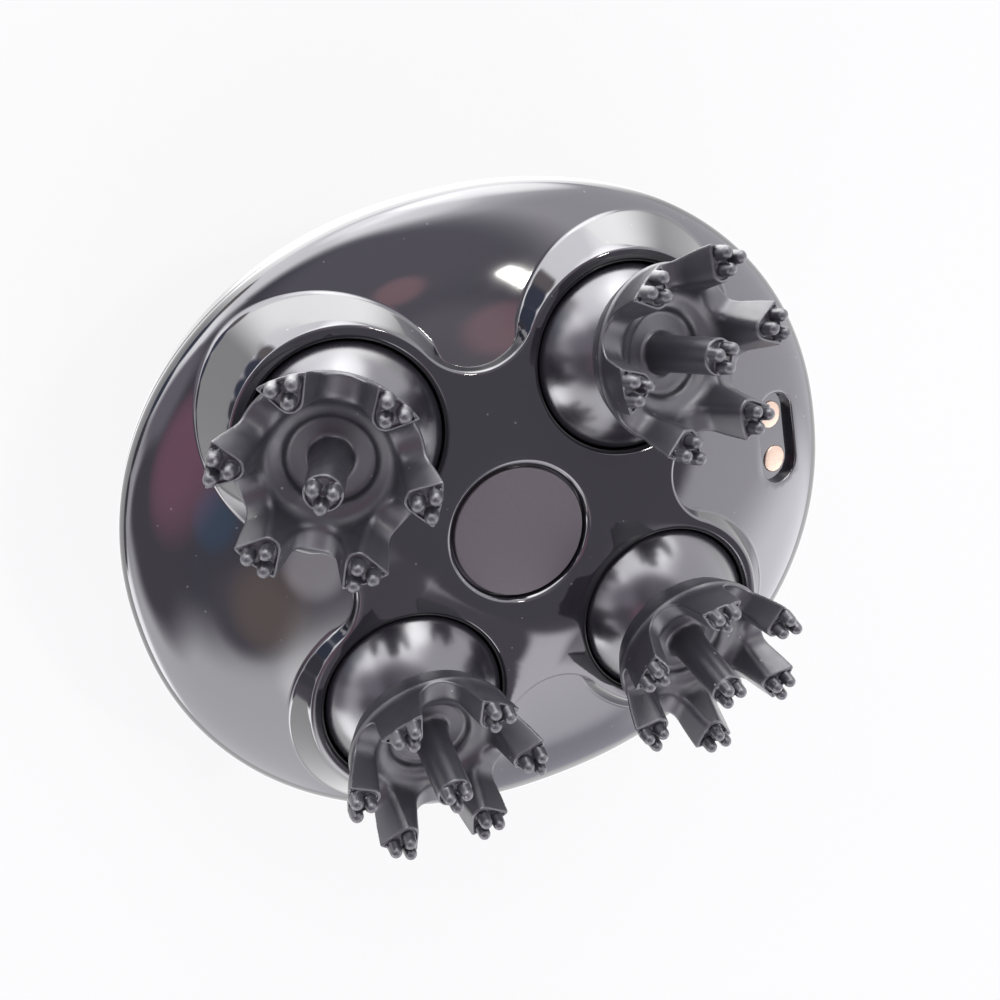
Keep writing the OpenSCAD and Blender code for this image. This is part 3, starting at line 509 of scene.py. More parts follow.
def dome_cover():
    """The grip dome: outside, flat crown with the light ring's seat, and inside."""
    skin = Skin()
    outline = body_outline(DOME_COLUMNS)
    top = math.asin((DOME_TOP - GIRTH_Z) / DOME_DEPTH)
    bottom = math.asin(-GIRTH_Z / DOME_DEPTH)

    def dome_row(v, inset=0.0):
        z = GIRTH_Z + (DOME_DEPTH - inset) * math.sin(v)
        return np.c_[inset_by(outline, inset) * math.cos(v), np.full(len(outline), z)]

    rows = []
    for inset, drop in ((WALL, 0), *EDGE_ROUND[::-1]):
        rows.append(np.c_[inset_by(outline, inset) * math.cos(top), np.full(len(outline), DOME_TOP - drop)])
    for k in range(1, DOME_ROWS + 1):
        rows.append(dome_row(top + (bottom - top) * k / DOME_ROWS))
    # the dome runs into the flat crown over a small rounding
    crown = rows.pop()
    for share, z in ((1.004, 0.06), (0.994, 0.015), (0.975, 0)):
        rows.append(crown * [share, share, 1] + [0, 0, z])
    a = np.arctan2(crown[:, 1], crown[:, 0])

    def ring(r, z):
        return np.c_[r * np.cos(a), r * np.sin(a), np.full(len(outline), z)]

    rows += [ring(RING_OUT + 0.2, 0), ring(RING_OUT + 0.05, 0.06), ring(RING_OUT, 0.2)]
    rows += [ring(RING_OUT, RING_SEAT), ring(CROWN_HOLE_R, RING_SEAT), ring(CROWN_HOLE_R, CROWN_T)]
    inner_bottom = math.asin((CROWN_T - GIRTH_Z) / (DOME_DEPTH - WALL))
    inner_top = math.asin((DOME_TOP - GIRTH_Z) / (DOME_DEPTH - WALL))
    for k in range(DOME_INNER_ROWS + 1):
        rows.append(dome_row(inner_bottom + (inner_top - inner_bottom) * k / DOME_INNER_ROWS, WALL))
    skin.bridge([*rows, rows[0]])
    return skin.mesh("grip_dome")


# ---------- middle plate and contacts ----------


def middle_plate():
    """The round plate in the face's recess, with a rounded edge."""
    top = FACE_Z - DISC_DROP
    edge = arc(DISC_EDGE_R, 0, 90, 5) + [DISC_R - DISC_EDGE_R, top - DISC_EDGE_R]
    return lathe([(0, top - DISC_T), (DISC_R, top - DISC_T), *edge, (0, top)]).mesh("middle_plate")


def contact_pads():
    """Two round pads with soft edges, on the socket's floor."""
    skin = Skin()
    origin, along, across, out = socket_frame()
    edge = arc(CONTACT_EDGE_R, 0, 90, 5) + [CONTACT_R - CONTACT_EDGE_R, 0.05]
    profile = [(0, -1.8), (CONTACT_R, -1.8), *edge, (CONTACT_R * 0.5, 0.3), (0, 0.32)]
    for side in (-1, 1):
        base = len(skin.points)
        pad = lathe(profile, 64)
        for u, v, w in pad.points:
            p = origin + u * along + (v + side * CONTACT_PITCH / 2) * across + (w - SOCKET_DEPTH) * out
            skin.points.append(tuple(p))
        skin.faces += [[base + i for i in f] for f in pad.faces]
    return skin.mesh("contact_pads")


# ---------- heads ----------


def head_matrix(name):
    """A head's own frame: the tilt centre as origin and +Z along its leaning axis."""
    x, y = HEAD_JOINTS["head_" + name][:2]
    place = Matrix.Translation(Vector((x, y, PIVOT_Z)) * MM)
    lean_to = math.radians(LEAN_TO[name])
    tilt = Matrix.Rotation(lean_to, 4, "Z") @ Matrix.Rotation(math.radians(LEAN), 4, "Y")
    return place @ tilt @ Matrix.Rotation(math.radians(FINGER_TURN[name]) - lean_to, 4, "Z")


def ball_cap(name):
    """A cap that is flatter than a ball above its opening, with a leaning flat top and a thin wall."""
    segments = 160
    turned = np.array(head_matrix(name).to_3x3())
    top = circle(0, 0, CAP_TOP_R, CAP_H, segments) @ turned.T
    azimuth = np.arctan2(top[:, 1], top[:, 0])

    def ring(r, h):
        return np.c_[r * np.cos(azimuth), r * np.sin(azimuth), np.full(segments, h)]

    def leaning(r, h):
        return circle(0, 0, r, h, segments) @ turned.T

    # below the rim a ball, then a tight bend, and above it an arc in each upright plane up to the flat top
    low = math.asin(BALL_FOOT_H / BALL_R)
    under = math.asin((FACE_Z - FACE_T - PIVOT_Z) / BALL_R)
    rows = [ring(BALL_R * math.cos(v), BALL_R * math.sin(v)) for v in np.linspace(low, under, 9)]
    for tilt in np.linspace(math.radians(88), BALL_RIM_TILT, 7)[:-1]:
        bend_r = BALL_RIM_R + BALL_BEND_R * (math.sin(tilt) - math.sin(BALL_RIM_TILT))
        bend_h = BALL_RIM_H + BALL_BEND_R * (math.cos(tilt) - math.cos(BALL_RIM_TILT))
        rows.append(ring(bend_r, bend_h))
    top_r = np.hypot(top[:, 0], top[:, 1])
    chord_tilt = np.arctan2(top[:, 2] - BALL_RIM_H, BALL_RIM_R - top_r)
    half = np.maximum(BALL_RIM_TILT - chord_tilt, math.radians(1))
    bow_r = np.hypot(top[:, 2] - BALL_RIM_H, BALL_RIM_R - top_r) / (2 * np.sin(half))
    for share in np.linspace(0, 1, 28):
        tilt = chord_tilt + half * (1 - 2 * share)
        r = BALL_RIM_R + bow_r * (np.sin(tilt) - np.sin(chord_tilt + half))
        h = BALL_RIM_H + bow_r * (np.cos(tilt) - np.cos(chord_tilt + half))
        rows.append(ring(r, h))

    # the flat top with its bore, and a ball inside
    inner_h = CAP_H - CAP_WALL
    rows += [leaning(CAP_TOP_R - 0.1, CAP_H), leaning(CAP_BORE_R, CAP_H), leaning(CAP_BORE_R, inner_h)]
    inner_r = BALL_R - CAP_WALL
    inner_top = leaning(math.sqrt(inner_r**2 - inner_h**2), inner_h)
    inner_low = ring(1, math.tan(low)) * inner_r * math.cos(low)
    for share in np.linspace(0, 1, 12):
        between = inner_top + (inner_low - inner_top) * share
        rows.append(between * (inner_r / np.linalg.norm(between, axis=1))[:, None])
    skin = Skin()
    centre = [*HEAD_JOINTS["head_" + name][:2], PIVOT_Z]
    skin.wrap([row + centre for row in rows])
    return skin.mesh(f"ball_{name}")


# The claw, in its head's frame: a flaring cup that is split by arches into fingers, and a post in it.
FINGERS = 6
CLAW_BASE_R = 10.8
CLAW_TIP_R = 15.4
CLAW_FLARE = 6.23
CLAW_CURL = 1.63
FINGER_H = 21.8
FINGER_IN_R = 10.3
WALL_IN_R = 9.1
FLOOR_H = 13.4
BEAD_R = 0.5
ARCH_R = 3.4
ARCH_NARROWING = 0.06
ARCH_LOW = 14.6
ARCH_SPLAY = math.radians(14)
POST_R = 2.65
POST_H = 24.5
POST_FOOT_FLARE = 0.55
POST_FOOT_RISE = 1.6
# The well in the cup's floor round the post, and the seat for the core below.
WELL_R = 6.3
WELL_DEPTH = 1.5
CORE_R = 8.65
CORE_TOP = 11.25
# Every tip is a shallow recess in a rim, with nubs. A finger's nubs are given by their distance from the
# claw's axis and from the finger's middle, to both sides, and the post's three stand in a ring.
TIP_RIM = 0.42
TIP_RECESS = 0.35
NUB_TOP_R = 0.95
NUB_FOOT_R = 1.05
NUB_RISE = 1.3
FINGER_NUBS = ((14.3, 1.36), (12.2, 0.0))
POST_NUBS = 3
POST_NUB_RING = 1.5
POST_NUB_TURN = 30
CLAW_STEP = 0.2


def soft_max(a, b, blend):
    return np.maximum(a, b) + np.maximum(blend - np.abs(a - b), 0) ** 2 / (4 * blend)


def soft_min(a, b, blend):
    return -soft_max(-a, -b, blend)


def round_cone(x, y, h, low_r, high_r, low_h, high_h):
    """Distance to a cone with ball ends along the axis, after a well-known closed form."""
    q = np.hypot(x, y)
    rise = high_h - low_h
    b = (low_r - high_r) / rise
    a = math.sqrt(1 - b * b)
    up = h - low_h
    k = -b * q + a * up
    low = np.hypot(q, up) - low_r
    high = np.hypot(q, up - rise) - high_r
    side = a * q + b * up - low_r
    return np.where(k < 0, low, np.where(k > a * rise, high, side))


def claw_distance(x, y, h):
    """Signed distance, nearly, to the claw in its head's frame: cup with arches, post, rims and nubs."""
    # each point's place along and aside of the nearest finger's middle line
    r = np.hypot(x, y)
    sector = TURN / FINGERS
    a = np.arctan2(y, x)
    a = np.abs(a - sector * np.round(a / sector))
    along, aside = r * np.cos(a), r * np.sin(a)

    # the outer wall flares and curls back, and the inner one widens from the cup's floor up
    rise = np.clip((h - CAP_H) / (FINGER_H - CAP_H), -0.1, 1.1)
    outer_r = CLAW_BASE_R + CLAW_FLARE * rise - CLAW_CURL * rise**2
    climb = np.clip((h - FLOOR_H) / (FINGER_H - FLOOR_H), 0, 1)
    inner_r = WALL_IN_R + (FINGER_IN_R - WALL_IN_R) * climb
    # both walls lean, so these distances along the radius are shortened
    outside = (r - outer_r) * 0.93
    inner = (inner_r - r) * 0.96

    # an arch between two fingers has a round foot and splayed sides
    from_slot = along * math.sin(sector / 2) - aside * math.cos(sector / 2)
    foot = ARCH_R - ARCH_NARROWING * (CLAW_TIP_R - r)
    up, off = h - ARCH_LOW - foot, np.abs(from_slot)
    c, s = math.cos(ARCH_SPLAY), math.sin(ARCH_SPLAY)
    slot = np.where(off * s + up * c > 0, off * c - up * s, np.hypot(off, up)) - foot

    # fingers, cut to their height, with the recess in their tips
    side = soft_max(-slot, inner, 1.3)
    plan = soft_max(side, outside, 0.3)
    wall = soft_max(soft_max(inner, outside, 0.5), -slot, 0.35)
    wall = soft_max(wall, side, 0.3)
    fingers = soft_max(wall, h - FINGER_H, 0.25)
    recess = soft_max(plan + TIP_RIM, FINGER_H - TIP_RECESS - h, 0.1)
    fingers = soft_max(fingers, -recess, 0.1)

    # the cup's floor with the well in it, and the bead at the cup's foot
    floor = soft_max(outside, h - FLOOR_H, 0.3)
    cup = soft_min(fingers, floor, 2.4)
    well = soft_max(r - WELL_R, FLOOR_H - WELL_DEPTH - h, 0.8)
    cup = soft_max(cup, -well, 1.5)
    bead = np.hypot(r - CLAW_BASE_R + 0.25, h - CAP_H - BEAD_R) - BEAD_R
    cup = soft_min(cup, bead, 0.5)

    # the post, and the nubs on all tips
    post_r = POST_R + POST_FOOT_FLARE * np.exp(-np.maximum(h - FLOOR_H + WELL_DEPTH, 0) / POST_FOOT_RISE)
    post = soft_max(r - post_r, h - POST_H, 0.25)
    post_recess = soft_max(r - POST_R + TIP_RIM, POST_H - TIP_RECESS - h, 0.1)
    post = soft_max(post, -post_recess, 0.1)
    claw = soft_min(cup, post, 0.6)
    spots = [(along, aside, FINGER_H, *place) for place in FINGER_NUBS]
    for k in range(POST_NUBS):
        b = math.radians(POST_NUB_TURN + 360 / POST_NUBS * k)
        spots.append((x, y, POST_H, POST_NUB_RING * math.cos(b), POST_NUB_RING * math.sin(b)))
    for u, v, top, u_nub, v_nub in spots:
        nub = round_cone(u - u_nub, v - v_nub, h, NUB_FOOT_R, NUB_TOP_R, top + 0.1, top + NUB_RISE)
        claw = soft_min(claw, nub, 0.12)

    # the flat foot on the cap, and the core's seat
    claw = soft_max(claw, CAP_H - h, 0.1)
    seat = np.maximum(r - CORE_R, h - CORE_TOP)
    return np.maximum(claw, -seat)


def surface_net(distance, low, high, step):
    """Points and quads where a distance field crosses zero, with each point moved onto the surface."""
    axes = [np.arange(a, b + step, step) for a, b in zip(low, high)]
    grid = np.meshgrid(*axes, indexing="ij")
    field = distance(*grid)
    solid = field < 0
    shape = np.array(field.shape) - 1
    total = np.zeros((*shape, 3), np.float32)
    count = np.zeros(shape, np.float32)
    crossings = []
    # each grid edge that crosses the surface gives its crossing to the four cells round it
    for axis in range(3):
        a = np.moveaxis(field, axis, 0)
        share = np.clip(a[:-1] / np.where(a[:-1] == a[1:], 1, a[:-1] - a[1:]), 0, 1)
        crossed = (a[:-1] < 0) != (a[1:] < 0)
        share = np.moveaxis(np.where(crossed, share, 0), 0, axis)
        crossed = np.moveaxis(crossed, 0, axis)
        crossings.append(crossed)
        others = [i for i in range(3) if i != axis]
        for da in (0, 1):
            for db in (0, 1):
                window = [slice(None)] * 3
                window[others[0]] = slice(da, da + shape[others[0]])
                window[others[1]] = slice(db, db + shape[others[1]])
                hit = crossed[tuple(window)]
                count += hit
                total[..., axis] += np.where(hit, share[tuple(window)], 0)
                total[..., others[0]] += hit * da
                total[..., others[1]] += hit * db
    # a cell's point is the middle of its crossings
    used = count > 0
    number = np.full(shape, -1)
    number[used] = np.arange(used.sum())
    cell = np.argwhere(used)
    points = (cell + total[used] / count[used][:, None]) * step + np.array([a[0] for a in axes])
    # a quad joins the points of the four cells round each crossed edge
    faces = []
    for axis in range(3):
        u, v = (axis + 1) % 3, (axis + 2) % 3
        where = np.argwhere(crossings[axis])
        keep = (where[:, u] > 0) & (where[:, v] > 0) & (where[:, u] < shape[u]) & (where[:, v] < shape[v])
        where = where[keep]
        ends_solid = solid[tuple((where + np.eye(3, dtype=int)[axis]).T)]
        corners = []
        for du, dv in ((1, 1), (0, 1), (0, 0), (1, 0)):
            at = where.copy()
            at[:, u] -= du
            at[:, v] -= dv
            corners.append(number[tuple(at.T)])
        quads = np.stack(corners, axis=1)
        quads[ends_solid] = quads[ends_solid][:, ::-1]
        faces.append(quads)
    for _ in range(2):
        points = onto_surface(distance, points, step / 4)
    return points, np.vstack(faces)


def onto_surface(distance, points, reach):
    """Points moved onto the surface along the field's slope, by a limited step."""
    x, y, h = points.T
    value = distance(x, y, h)
    gradient = np.stack([
        distance(x + reach, y, h) - distance(x - reach, y, h),
        distance(x, y + reach, h) - distance(x, y - reach, h),
        distance(x, y, h + reach) - distance(x, y, h - reach),
    ], axis=1) / (2 * reach)
    slope = np.maximum((gradient**2).sum(axis=1), 0.25)
    move = gradient * (value / slope)[:, None]
    length = np.maximum(np.linalg.norm(move, axis=1), 1e-9)
    return points - move * np.minimum(1, reach * 2 / length)[:, None]


def claw():
    """The claw's mesh, in its head's frame."""
    reach = CLAW_TIP_R + 0.9
    low, high = (-reach, -reach, CAP_H - 0.4), (reach, reach, POST_H + 2.6)
    points, faces = surface_net(claw_distance, low, high, CLAW_STEP)
    return closed_mesh("claw", points, faces.tolist())


# ---------- materials ----------


class Tree:
    """A node tree that is built by short calls."""

    def __init__(self, owner):
        owner.use_nodes = True
        self.nodes = owner.node_tree.nodes
        self.links = owner.node_tree.links

    def set(self, node, values):
        """Sets or links a node's inputs by name or number."""
        for key, value in values.items():
            if isinstance(value, bpy.types.NodeSocket):
                self.links.new(value, node.inputs[key])
            else:
                node.inputs[key].default_value = value
        return node

    def new(self, kind, values=None, **settings):
        """A node with these settings, and with these inputs set or linked."""
        node = self.nodes.new(kind)
        for name, value in settings.items():
            setattr(node, name, value)
        return self.set(node, values or {})

    def remap(self, value, low, high, low_to, high_to, kind="LINEAR"):
        values = {"Value": value, "From Min": low, "From Max": high, "To Min": low_to, "To Max": high_to}
        return self.new("ShaderNodeMapRange", values, interpolation_type=kind).outputs["Result"]

    def smooth(self, value, low, high, low_to=0.0, high_to=1.0):
        return self.remap(value, low, high, low_to, high_to, "SMOOTHSTEP")

    def vector_math(self, operation, values):
        return self.new("ShaderNodeVectorMath", values, operation=operation).outputs

    def mix_shader(self, share, first, second):
        return self.new("ShaderNodeMixShader", {0: share, 1: first.outputs[0], 2: second.outputs[0]})


class Paint(Tree):
    """A procedural material on one Principled shader, with its patterns in the object's own metres."""

    def __init__(self, name, color, roughness, metallic=0.0, level=0.5, ior=1.5):
        self.material = bpy.data.materials.new(name)
        super().__init__(self.material)
        self.shader = self.nodes["Principled BSDF"]
        self.place = self.new("ShaderNodeTexCoord").outputs["Object"]
        self.set(self.shader, {"Base Color": (*color, 1), "Roughness": roughness, "Metallic": metallic,
                               "Specular IOR Level": level, "IOR": ior})

    def noise(self, size_mm, detail=2.0, stretch=None):
        """Noise from 0 to 1 whose features are about this big."""
        place = self.place
        if stretch:
            place = self.new("ShaderNodeMapping", {"Vector": place, "Scale": stretch}).outputs["Vector"]
        values = {"Vector": place, "Scale": 1 / (size_mm * MM), "Detail": detail}
        return self.new("ShaderNodeTexNoise", values).outputs["Fac"]

    def specks(self, size_mm, share):
        """1 in the middles of a small share of cells of this size, and 0 elsewhere."""
        cells = self.new("ShaderNodeTexVoronoi", {"Vector": self.place, "Scale": 1 / (size_mm * MM)})
        near = self.remap(cells.outputs["Distance"], 0.10, 0.16, 1, 0)
        split = self.new("ShaderNodeSeparateColor", {"Color": cells.outputs["Color"]})
        rare = self.remap(split.outputs["Red"], share * 0.9, share, 1, 0)
        return self.new("ShaderNodeMath", {0: near, 1: rare}, operation="MULTIPLY").outputs["Value"]

    def vary_roughness(self, value, low, high):
        """Roughness that follows a pattern, from 0.3 to 0.7 of its range."""
        self.set(self.shader, {"Roughness": self.remap(value, 0.3, 0.7, low, high)})

    def tint(self, value, color):
        """Mixes another colour in where the value is 1."""
        base = self.shader.inputs["Base Color"]
        before = base.links[0].from_socket if base.is_linked else tuple(base.default_value)
        mix = self.new("ShaderNodeMix", {"A": before, "B": (*color, 1), "Factor": value}, data_type="RGBA")
        self.set(self.shader, {"Base Color": mix.outputs["Result"]})

    def bump(self, value, depth_mm):
        """Relief of this depth. It comes last and gives back the finished paint."""
        node = self.new("ShaderNodeBump", {"Distance": depth_mm * MM, "Strength": 1.0, "Height": value})
        self.set(self.shader, {"Normal": node.outputs["Normal"]})
        return self


def plastic(name, color, rough):
    """A moulded plastic with a fine grain and faint clouds of a lighter tone."""
    paint = Paint(name, color, rough)
    paint.vary_roughness(paint.noise(3.0), rough - 0.05, rough + 0.05)
    paint.tint(paint.remap(paint.noise(12.0), 0.35, 0.65, 0, 0.25), [min(c * 1.25, 1) for c in color])
    return paint.bump(paint.noise(0.25), 0.01)


def metal(name, color, rough, stretch=(1, 1, 12)):
    """A metal with fine streaks, which run across Z unless another stretch is given."""
    paint = Paint(name, color, rough, metallic=1.0)
    streaks = paint.noise(0.5, detail=4.0, stretch=stretch)
    paint.vary_roughness(streaks, rough - 0.07, rough + 0.07)
    return paint.bump(streaks, 0.004)


def gloss_black():
    paint = Paint("piano_black", (0.014, 0.014, 0.018), 0.05, ior=1.85)
    paint.vary_roughness(paint.noise(9.0), 0.035, 0.075)
    paint.tint(paint.specks(1.3, 0.04), (0.13, 0.13, 0.14))
    return paint.bump(paint.noise(7.0, detail=0.0), 0.004)


def ball_black():
    paint = Paint("ball_black", (0.020, 0.019, 0.024), 0.22, ior=1.9)
    paint.vary_roughness(paint.noise(4.0), 0.19, 0.25)
    return paint.bump(paint.noise(5.0, detail=0.0), 0.003)


def claw_silicone():
    paint = Paint("claw_silicone", (0.034, 0.034, 0.041), 0.40, level=0.85, ior=1.5)
    paint.vary_roughness(paint.noise(1.8), 0.36, 0.45)
    paint.tint(paint.remap(paint.noise(6.0), 0.4, 0.7, 0, 0.35), (0.044, 0.044, 0.053))
    paint.tint(paint.specks(1.5, 0.08), (0.30, 0.30, 0.32))
    return paint.bump(paint.noise(0.3), 0.005)


def disc_grey():
    paint = Paint("disc_plate", (0.105, 0.090, 0.103), 0.46)
    paint.vary_roughness(paint.noise(0.5), 0.42, 0.50)
    paint.tint(paint.remap(paint.noise(0.35), 0.35, 0.65, 0, 0.4), (0.125, 0.108, 0.122))
    return paint.bump(paint.noise(0.3), 0.008)


def light_ring():
    paint = plastic("light_ring", (0.72, 0.72, 0.76), 0.35)
    paint.set(paint.shader, {"Subsurface Weight": 0.2, "Subsurface Radius": (MM, MM, MM)})
    return paint


MATERIALS = {slot: paint.material for slot, paint in {
    "gloss_black": gloss_black(),
    "ball_black": ball_black(),
    "claw_silicone": claw_silicone(),
    "disc_grey": disc_grey(),
    "gasket_black": plastic("gasket_rubber", (0.020, 0.020, 0.022), 0.6),
    "light_ring": light_ring(),
    "button_black": plastic("button_black", (0.050, 0.047, 0.052), 0.38),
    "contact_gold": metal("contact_gold", (0.37, 0.285, 0.225), 0.30, stretch=(1, 1, 1)),
    "magnet_nickel": metal("magnet_nickel", (0.60, 0.60, 0.62), 0.22),
    "chassis_grey": plastic("chassis_grey", (0.060, 0.065, 0.070), 0.5),
    "gear_white": plastic("gear_acetal", (0.78, 0.76, 0.70), 0.42),
    "bush_bronze": metal("bush_bronze", (0.60, 0.42, 0.20), 0.42),
    "steel": metal("steel", (0.62, 0.63, 0.65), 0.28),
    "screw_steel": metal("screw_steel", (0.55, 0.56, 0.58), 0.36),
    "cell_blue": plastic("cell_wrap", (0.08, 0.20, 0.42), 0.35),
    "board_green": plastic("board_green", (0.02, 0.13, 0.07), 0.4),
}.items()}

# every CAD solid takes the material of its slot
for row in frame["record"]["subparts"]:
    node = frame["nodes"][row["node"]]
    node.data.materials.clear()
    node.data.materials.append(MATERIALS[row["material_slot"]])

# ---------- the pieces ----------

piece("face_cover_shell", face_cover(), "housing", "gloss_black", "face_cover")
piece("grip_dome", dome_cover(), "housing", "gloss_black", "dome_cover")
piece("middle_plate", middle_plate(), "housing", "disc_grey", "centre_disc")
piece("contact_pads", contact_pads(), "housing", "contact_gold", "charge_contacts")

claw_mesh = claw()
for head in HEADS:
    piece(f"ball_{head}", ball_cap(head), f"head_{head}", "ball_black", f"cap_{head}", sharp=40)
    placed = claw_mesh.copy()
    placed.transform(head_matrix(head))
    piece(f"fingers_{head}", placed, f"head_{head}", "claw_silicone", f"claw_{head}", sharp=0)

# ---------- floor, light and camera ----------


# The studio, as the gloss shows it. Each patch has the azimuth and elevation of its middle, the radius of
# its even part and of its soft edge, all in degrees, and red, green and blue. Lights are added to the room
# first, then shades cover it, and glints are added last.
ROOM = (2.6, 2.55, 2.75)
LIGHTS = (
    (67, 13, 9, 19, (4.6, 4.6, 4.6)),
    (85, 18, 5, 15, (2.2, 2.2, 2.2)),
    (96, 12, 10, 50, (3.3, 3.3, 3.4)),
    (137, 17, 6, 18, (2.6, 2.6, 2.7)),
    (-158, -3, 10, 24, (4.5, 4.5, 4.6)),
    (-128, 30, 20, 45, (0.9, 0.9, 0.9)),
    (-45, 15, 12, 26, (2.0, 2.0, 2.1)),
    (-76, 8, 4, 40, (-1.1, -1.1, -1.1)),
    (-72, 43, 12, 20, (1.2, 1.15, 1.25)),
    (-101, 52, 6, 10, (2.0, 2.0, 2.0)),
    (80, 33, 6, 14, (1.5, 1.5, 1.5)),
)
SHADES = (
    (142, 72, 34, 47, (0.40, 0.37, 0.46)),
    (-35, 64, 14.5, 16.5, (0.45, 0.42, 0.50)),
    (-57, 45, 6, 9, (0.42, 0.38, 0.46)),
    (-79, 61, 5, 7, (0.5, 0.46, 0.54)),
    (-126, 59, 4, 8, (0.5, 0.46, 0.54)),
    (150, 34, 8, 18, (1.1, 1.0, 1.2)),
    (178, 36, 8, 16, (0.42, 0.38, 0.46)),
    (-165, 43, 10, 20, (0.42, 0.38, 0.46)),
    (120, 5, 5, 9, (0.9, 0.8, 0.8)),
    (132, 6, 6, 10, (0.25, 0.3, 0.45)),
    (146, 6, 6, 10, (0.2, 0.25, 0.4)),
    (160, 5, 6, 10, (0.25, 0.25, 0.3)),
    (174, 3, 5, 9, (0.3, 0.3, 0.35)),
    (-176, 2, 5, 9, (0.45, 0.4, 0.5)),
)
GLINTS = (
    (-109, 67, 2.5, 4.5, (1.6, 1.5, 1.6)),
    (-2, 78, 3, 10, (0.4, 0.38, 0.4)),
    (80, 62, 10, 30, (0.35, 0.33, 0.38)),
    (174, 60, 4, 18, (0.9, 0.25, 0.45)),
    (61, 74, 2, 4, (0.9, 0.35, 0.35)),
    (4, 72.5, 2.5, 5, (0.8, 0.3, 0.35)),
    (-151, 66, 2, 6, (-0.05, 0.15, 0.35)),
    (-121, 60.5, 2, 7, (0.4, 0.25, 0.12)),
    (-94, 67, 1, 2.5, (1.2, 0.3, 0.6)),
)
# How much of that room lights what isn't glossy.
PLAIN_SHARE = 0.42

# The floor: half its side in metres, its colour, and how much plain white the camera sees in it.
FLOOR_HALF = 1.6
FLOOR_COLOR = (0.95, 0.95, 0.955, 1)
FLOOR_WHITE = 0.8
# The floor that the gloss shows has a painted glow toward the window: the azimuth, the cosines of the angles
# from it where the glow starts and is full, and its levels. Round the object it is dim, a painted shadow
# where the shadow lies.
WINDOW_SIDE = 82
GLOW_START, GLOW_FULL = 0.67, 0.95
GLOW_LOW, GLOW_HIGH = 2.0, 7.6
SHADE_NEAR = 40
SHADE_FAR = 70
SHADE_LEVEL = 0.35

# The lamp: its place, its target and its two sides in mm, its watts and its colour.
LAMP_PLACE = (300, 170, 830)
LAMP_TARGET = (0, 0, 50)
LAMP_SIZE = (75, 26)
LAMP_WATTS = 0.8
LAMP_COLOR = (1.0, 0.99, 0.93)

# The camera, as it was fitted to the photo: its place in mm, its direction, the picture's up and the lens.
CAMERA_PLACE = (-40.70, 70.16, 209.52)
CAMERA_LOOK = (0.23095, -0.38174, -0.89495)
CAMERA_UP = (0.29339, 0.90433, -0.31002)
CAMERA_LENS = 39.83


def toward(azimuth, elevation):
    """A direction from two angles in degrees."""
    a, e = math.radians(azimuth), math.radians(elevation)
    return Vector((math.cos(e) * math.cos(a), math.cos(e) * math.sin(a), math.sin(e)))


def floor():
    """A plain pale floor that looks white to the camera and keeps the object's shadow."""
    mesh = bpy.data.meshes.new("floor")
    corners = ((-1, -1), (1, -1), (1, 1), (-1, 1))
    mesh.from_pydata([(x * FLOOR_HALF, y * FLOOR_HALF, 0) for x, y in corners], [], [(0, 1, 2, 3)])
    obj = bpy.data.objects.new("floor", mesh)
    bpy.context.scene.collection.objects.link(obj)
    material = bpy.data.materials.new("floor_white")
    tree = Tree(material)
    tree.nodes.clear()
    ray = tree.new("ShaderNodeLightPath").outputs
    matte = tree.new("ShaderNodeBsdfDiffuse", {"Color": FLOOR_COLOR})
    white = tree.new("ShaderNodeEmission", {"Color": (1, 1, 1, 1), "Strength": 1.0})
    seen = tree.mix_shader(tree.smooth(ray["Is Camera Ray"], 0, 1, 0, FLOOR_WHITE), matte, white)
    place = tree.new("ShaderNodeTexCoord").outputs["Object"]
    way = tree.vector_math("NORMALIZE", {0: place})["Vector"]
    to_window = tree.vector_math("DOT_PRODUCT", {0: way, 1: toward(WINDOW_SIDE, 0)})["Value"]
    # painted glow: only glossy rays see the floor glow, brighter toward the window
    glow = tree.smooth(to_window, GLOW_START, GLOW_FULL, GLOW_LOW, GLOW_HIGH)
    away = tree.vector_math("LENGTH", {0: place})["Value"]
    # painted shadow: the glow is dimmed round the object
    level = tree.smooth(away, SHADE_NEAR * MM, SHADE_FAR * MM, SHADE_LEVEL, glow)
    mirrored = tree.new("ShaderNodeEmission", {"Color": (1, 0.99, 1, 1), "Strength": level})
    whole = tree.mix_shader(ray["Is Glossy Ray"], seen, mirrored)
    tree.new("ShaderNodeOutputMaterial", {"Surface": whole.outputs[0]})
    mesh.materials.append(material)


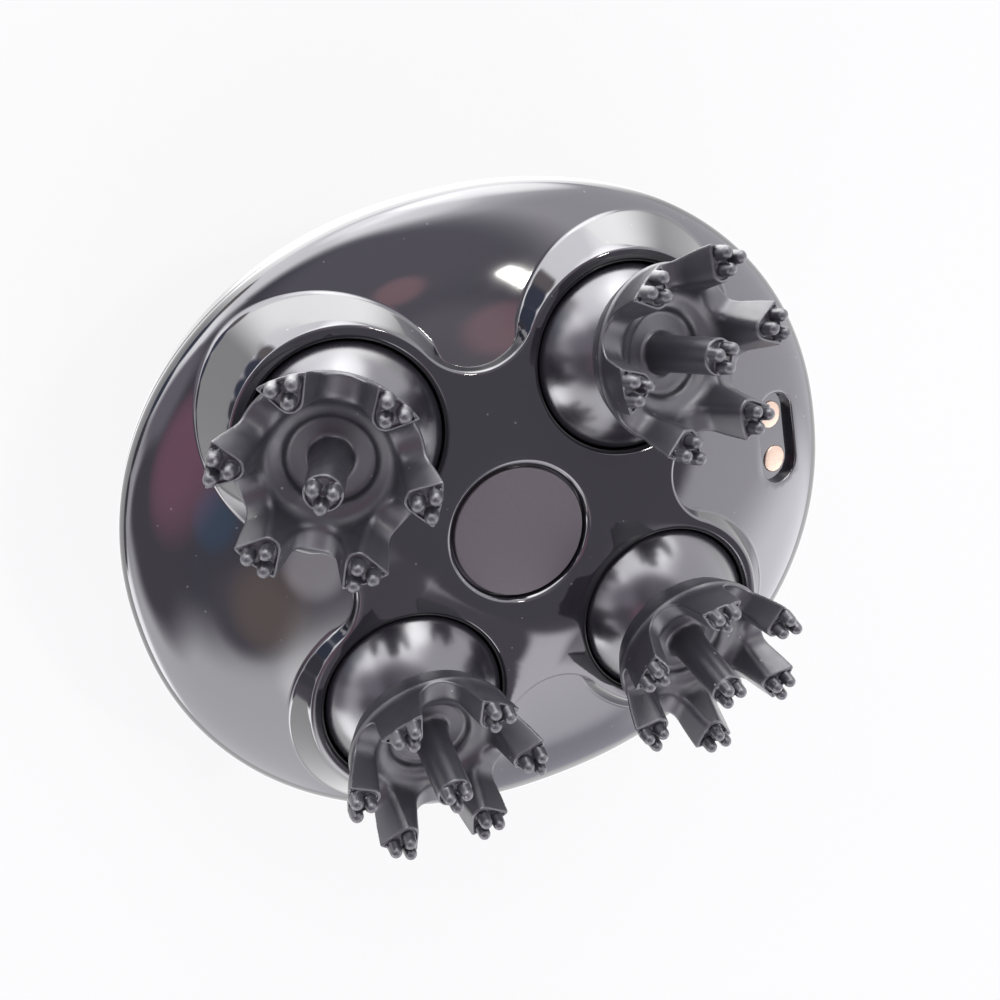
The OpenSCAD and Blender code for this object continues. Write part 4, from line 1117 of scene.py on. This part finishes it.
def world():
    """A pale room under a dim ceiling, with soft lights, for the gloss, and plain white to the camera."""
    sky = bpy.data.worlds.new("studio")
    bpy.context.scene.world = sky
    tree = Tree(sky)
    tree.nodes.clear()
    way = tree.new("ShaderNodeTexCoord").outputs["Generated"]

    def near(azimuth, elevation, even, edge):
        closeness = tree.vector_math("DOT_PRODUCT", {0: way, 1: toward(azimuth, elevation)})["Value"]
        return tree.smooth(closeness, math.cos(math.radians(edge)), math.cos(math.radians(even)))

    def add(color, patch, strength):
        return tree.vector_math("MULTIPLY_ADD", {0: near(*patch), 1: strength, 2: color})["Vector"]

    color = ROOM
    for *patch, strength in LIGHTS:
        color = add(color, patch, strength)
    for *patch, dark in SHADES:
        color = tree.new("ShaderNodeMix", {0: near(*patch), 4: color, 5: dark}, data_type="VECTOR").outputs[1]
    for *patch, strength in GLINTS:
        color = add(color, patch, strength)
    ray = tree.new("ShaderNodeLightPath").outputs
    level = tree.smooth(ray["Is Glossy Ray"], 0, 1, PLAIN_SHARE, 1.0)
    room = tree.new("ShaderNodeBackground", {"Color": color, "Strength": level})
    white = tree.new("ShaderNodeBackground", {"Color": (1, 1, 1, 1)})
    whole = tree.mix_shader(ray["Is Camera Ray"], room, white)
    tree.new("ShaderNodeOutputWorld", {"Surface": whole.outputs[0]})


def ceiling_lamp():
    """A small oblong lamp high above, turned to the object."""
    light = bpy.data.lights.new("ceiling_lamp", "AREA")
    light.shape = "RECTANGLE"
    light.size, light.size_y = (side * MM for side in LAMP_SIZE)
    light.energy = LAMP_WATTS
    light.color = LAMP_COLOR
    obj = bpy.data.objects.new("ceiling_lamp", light)
    bpy.context.scene.collection.objects.link(obj)
    place, target = Vector(LAMP_PLACE) * MM, Vector(LAMP_TARGET) * MM
    turn = (target - place).to_track_quat("-Z", "Y").to_matrix().to_4x4()
    obj.matrix_world = Matrix.Translation(place) @ turn


def camera():
    """The camera that the picture is taken with."""
    data = bpy.data.cameras.new("camera")
    data.sensor_width = 36
    data.lens = CAMERA_LENS
    data.clip_start = 0.01
    data.clip_end = 10
    obj = bpy.data.objects.new("camera", data)
    bpy.context.scene.collection.objects.link(obj)
    look = Vector(CAMERA_LOOK).normalized()
    right = look.cross(Vector(CAMERA_UP)).normalized()
    turn = Matrix((right, right.cross(look), -look)).transposed().to_4x4()
    obj.matrix_world = Matrix.Translation(Vector(CAMERA_PLACE) * MM) @ turn
    bpy.context.scene.camera = obj


floor()
world()
ceiling_lamp()
camera()

bpy.context.scene.view_settings.view_transform = "Standard"
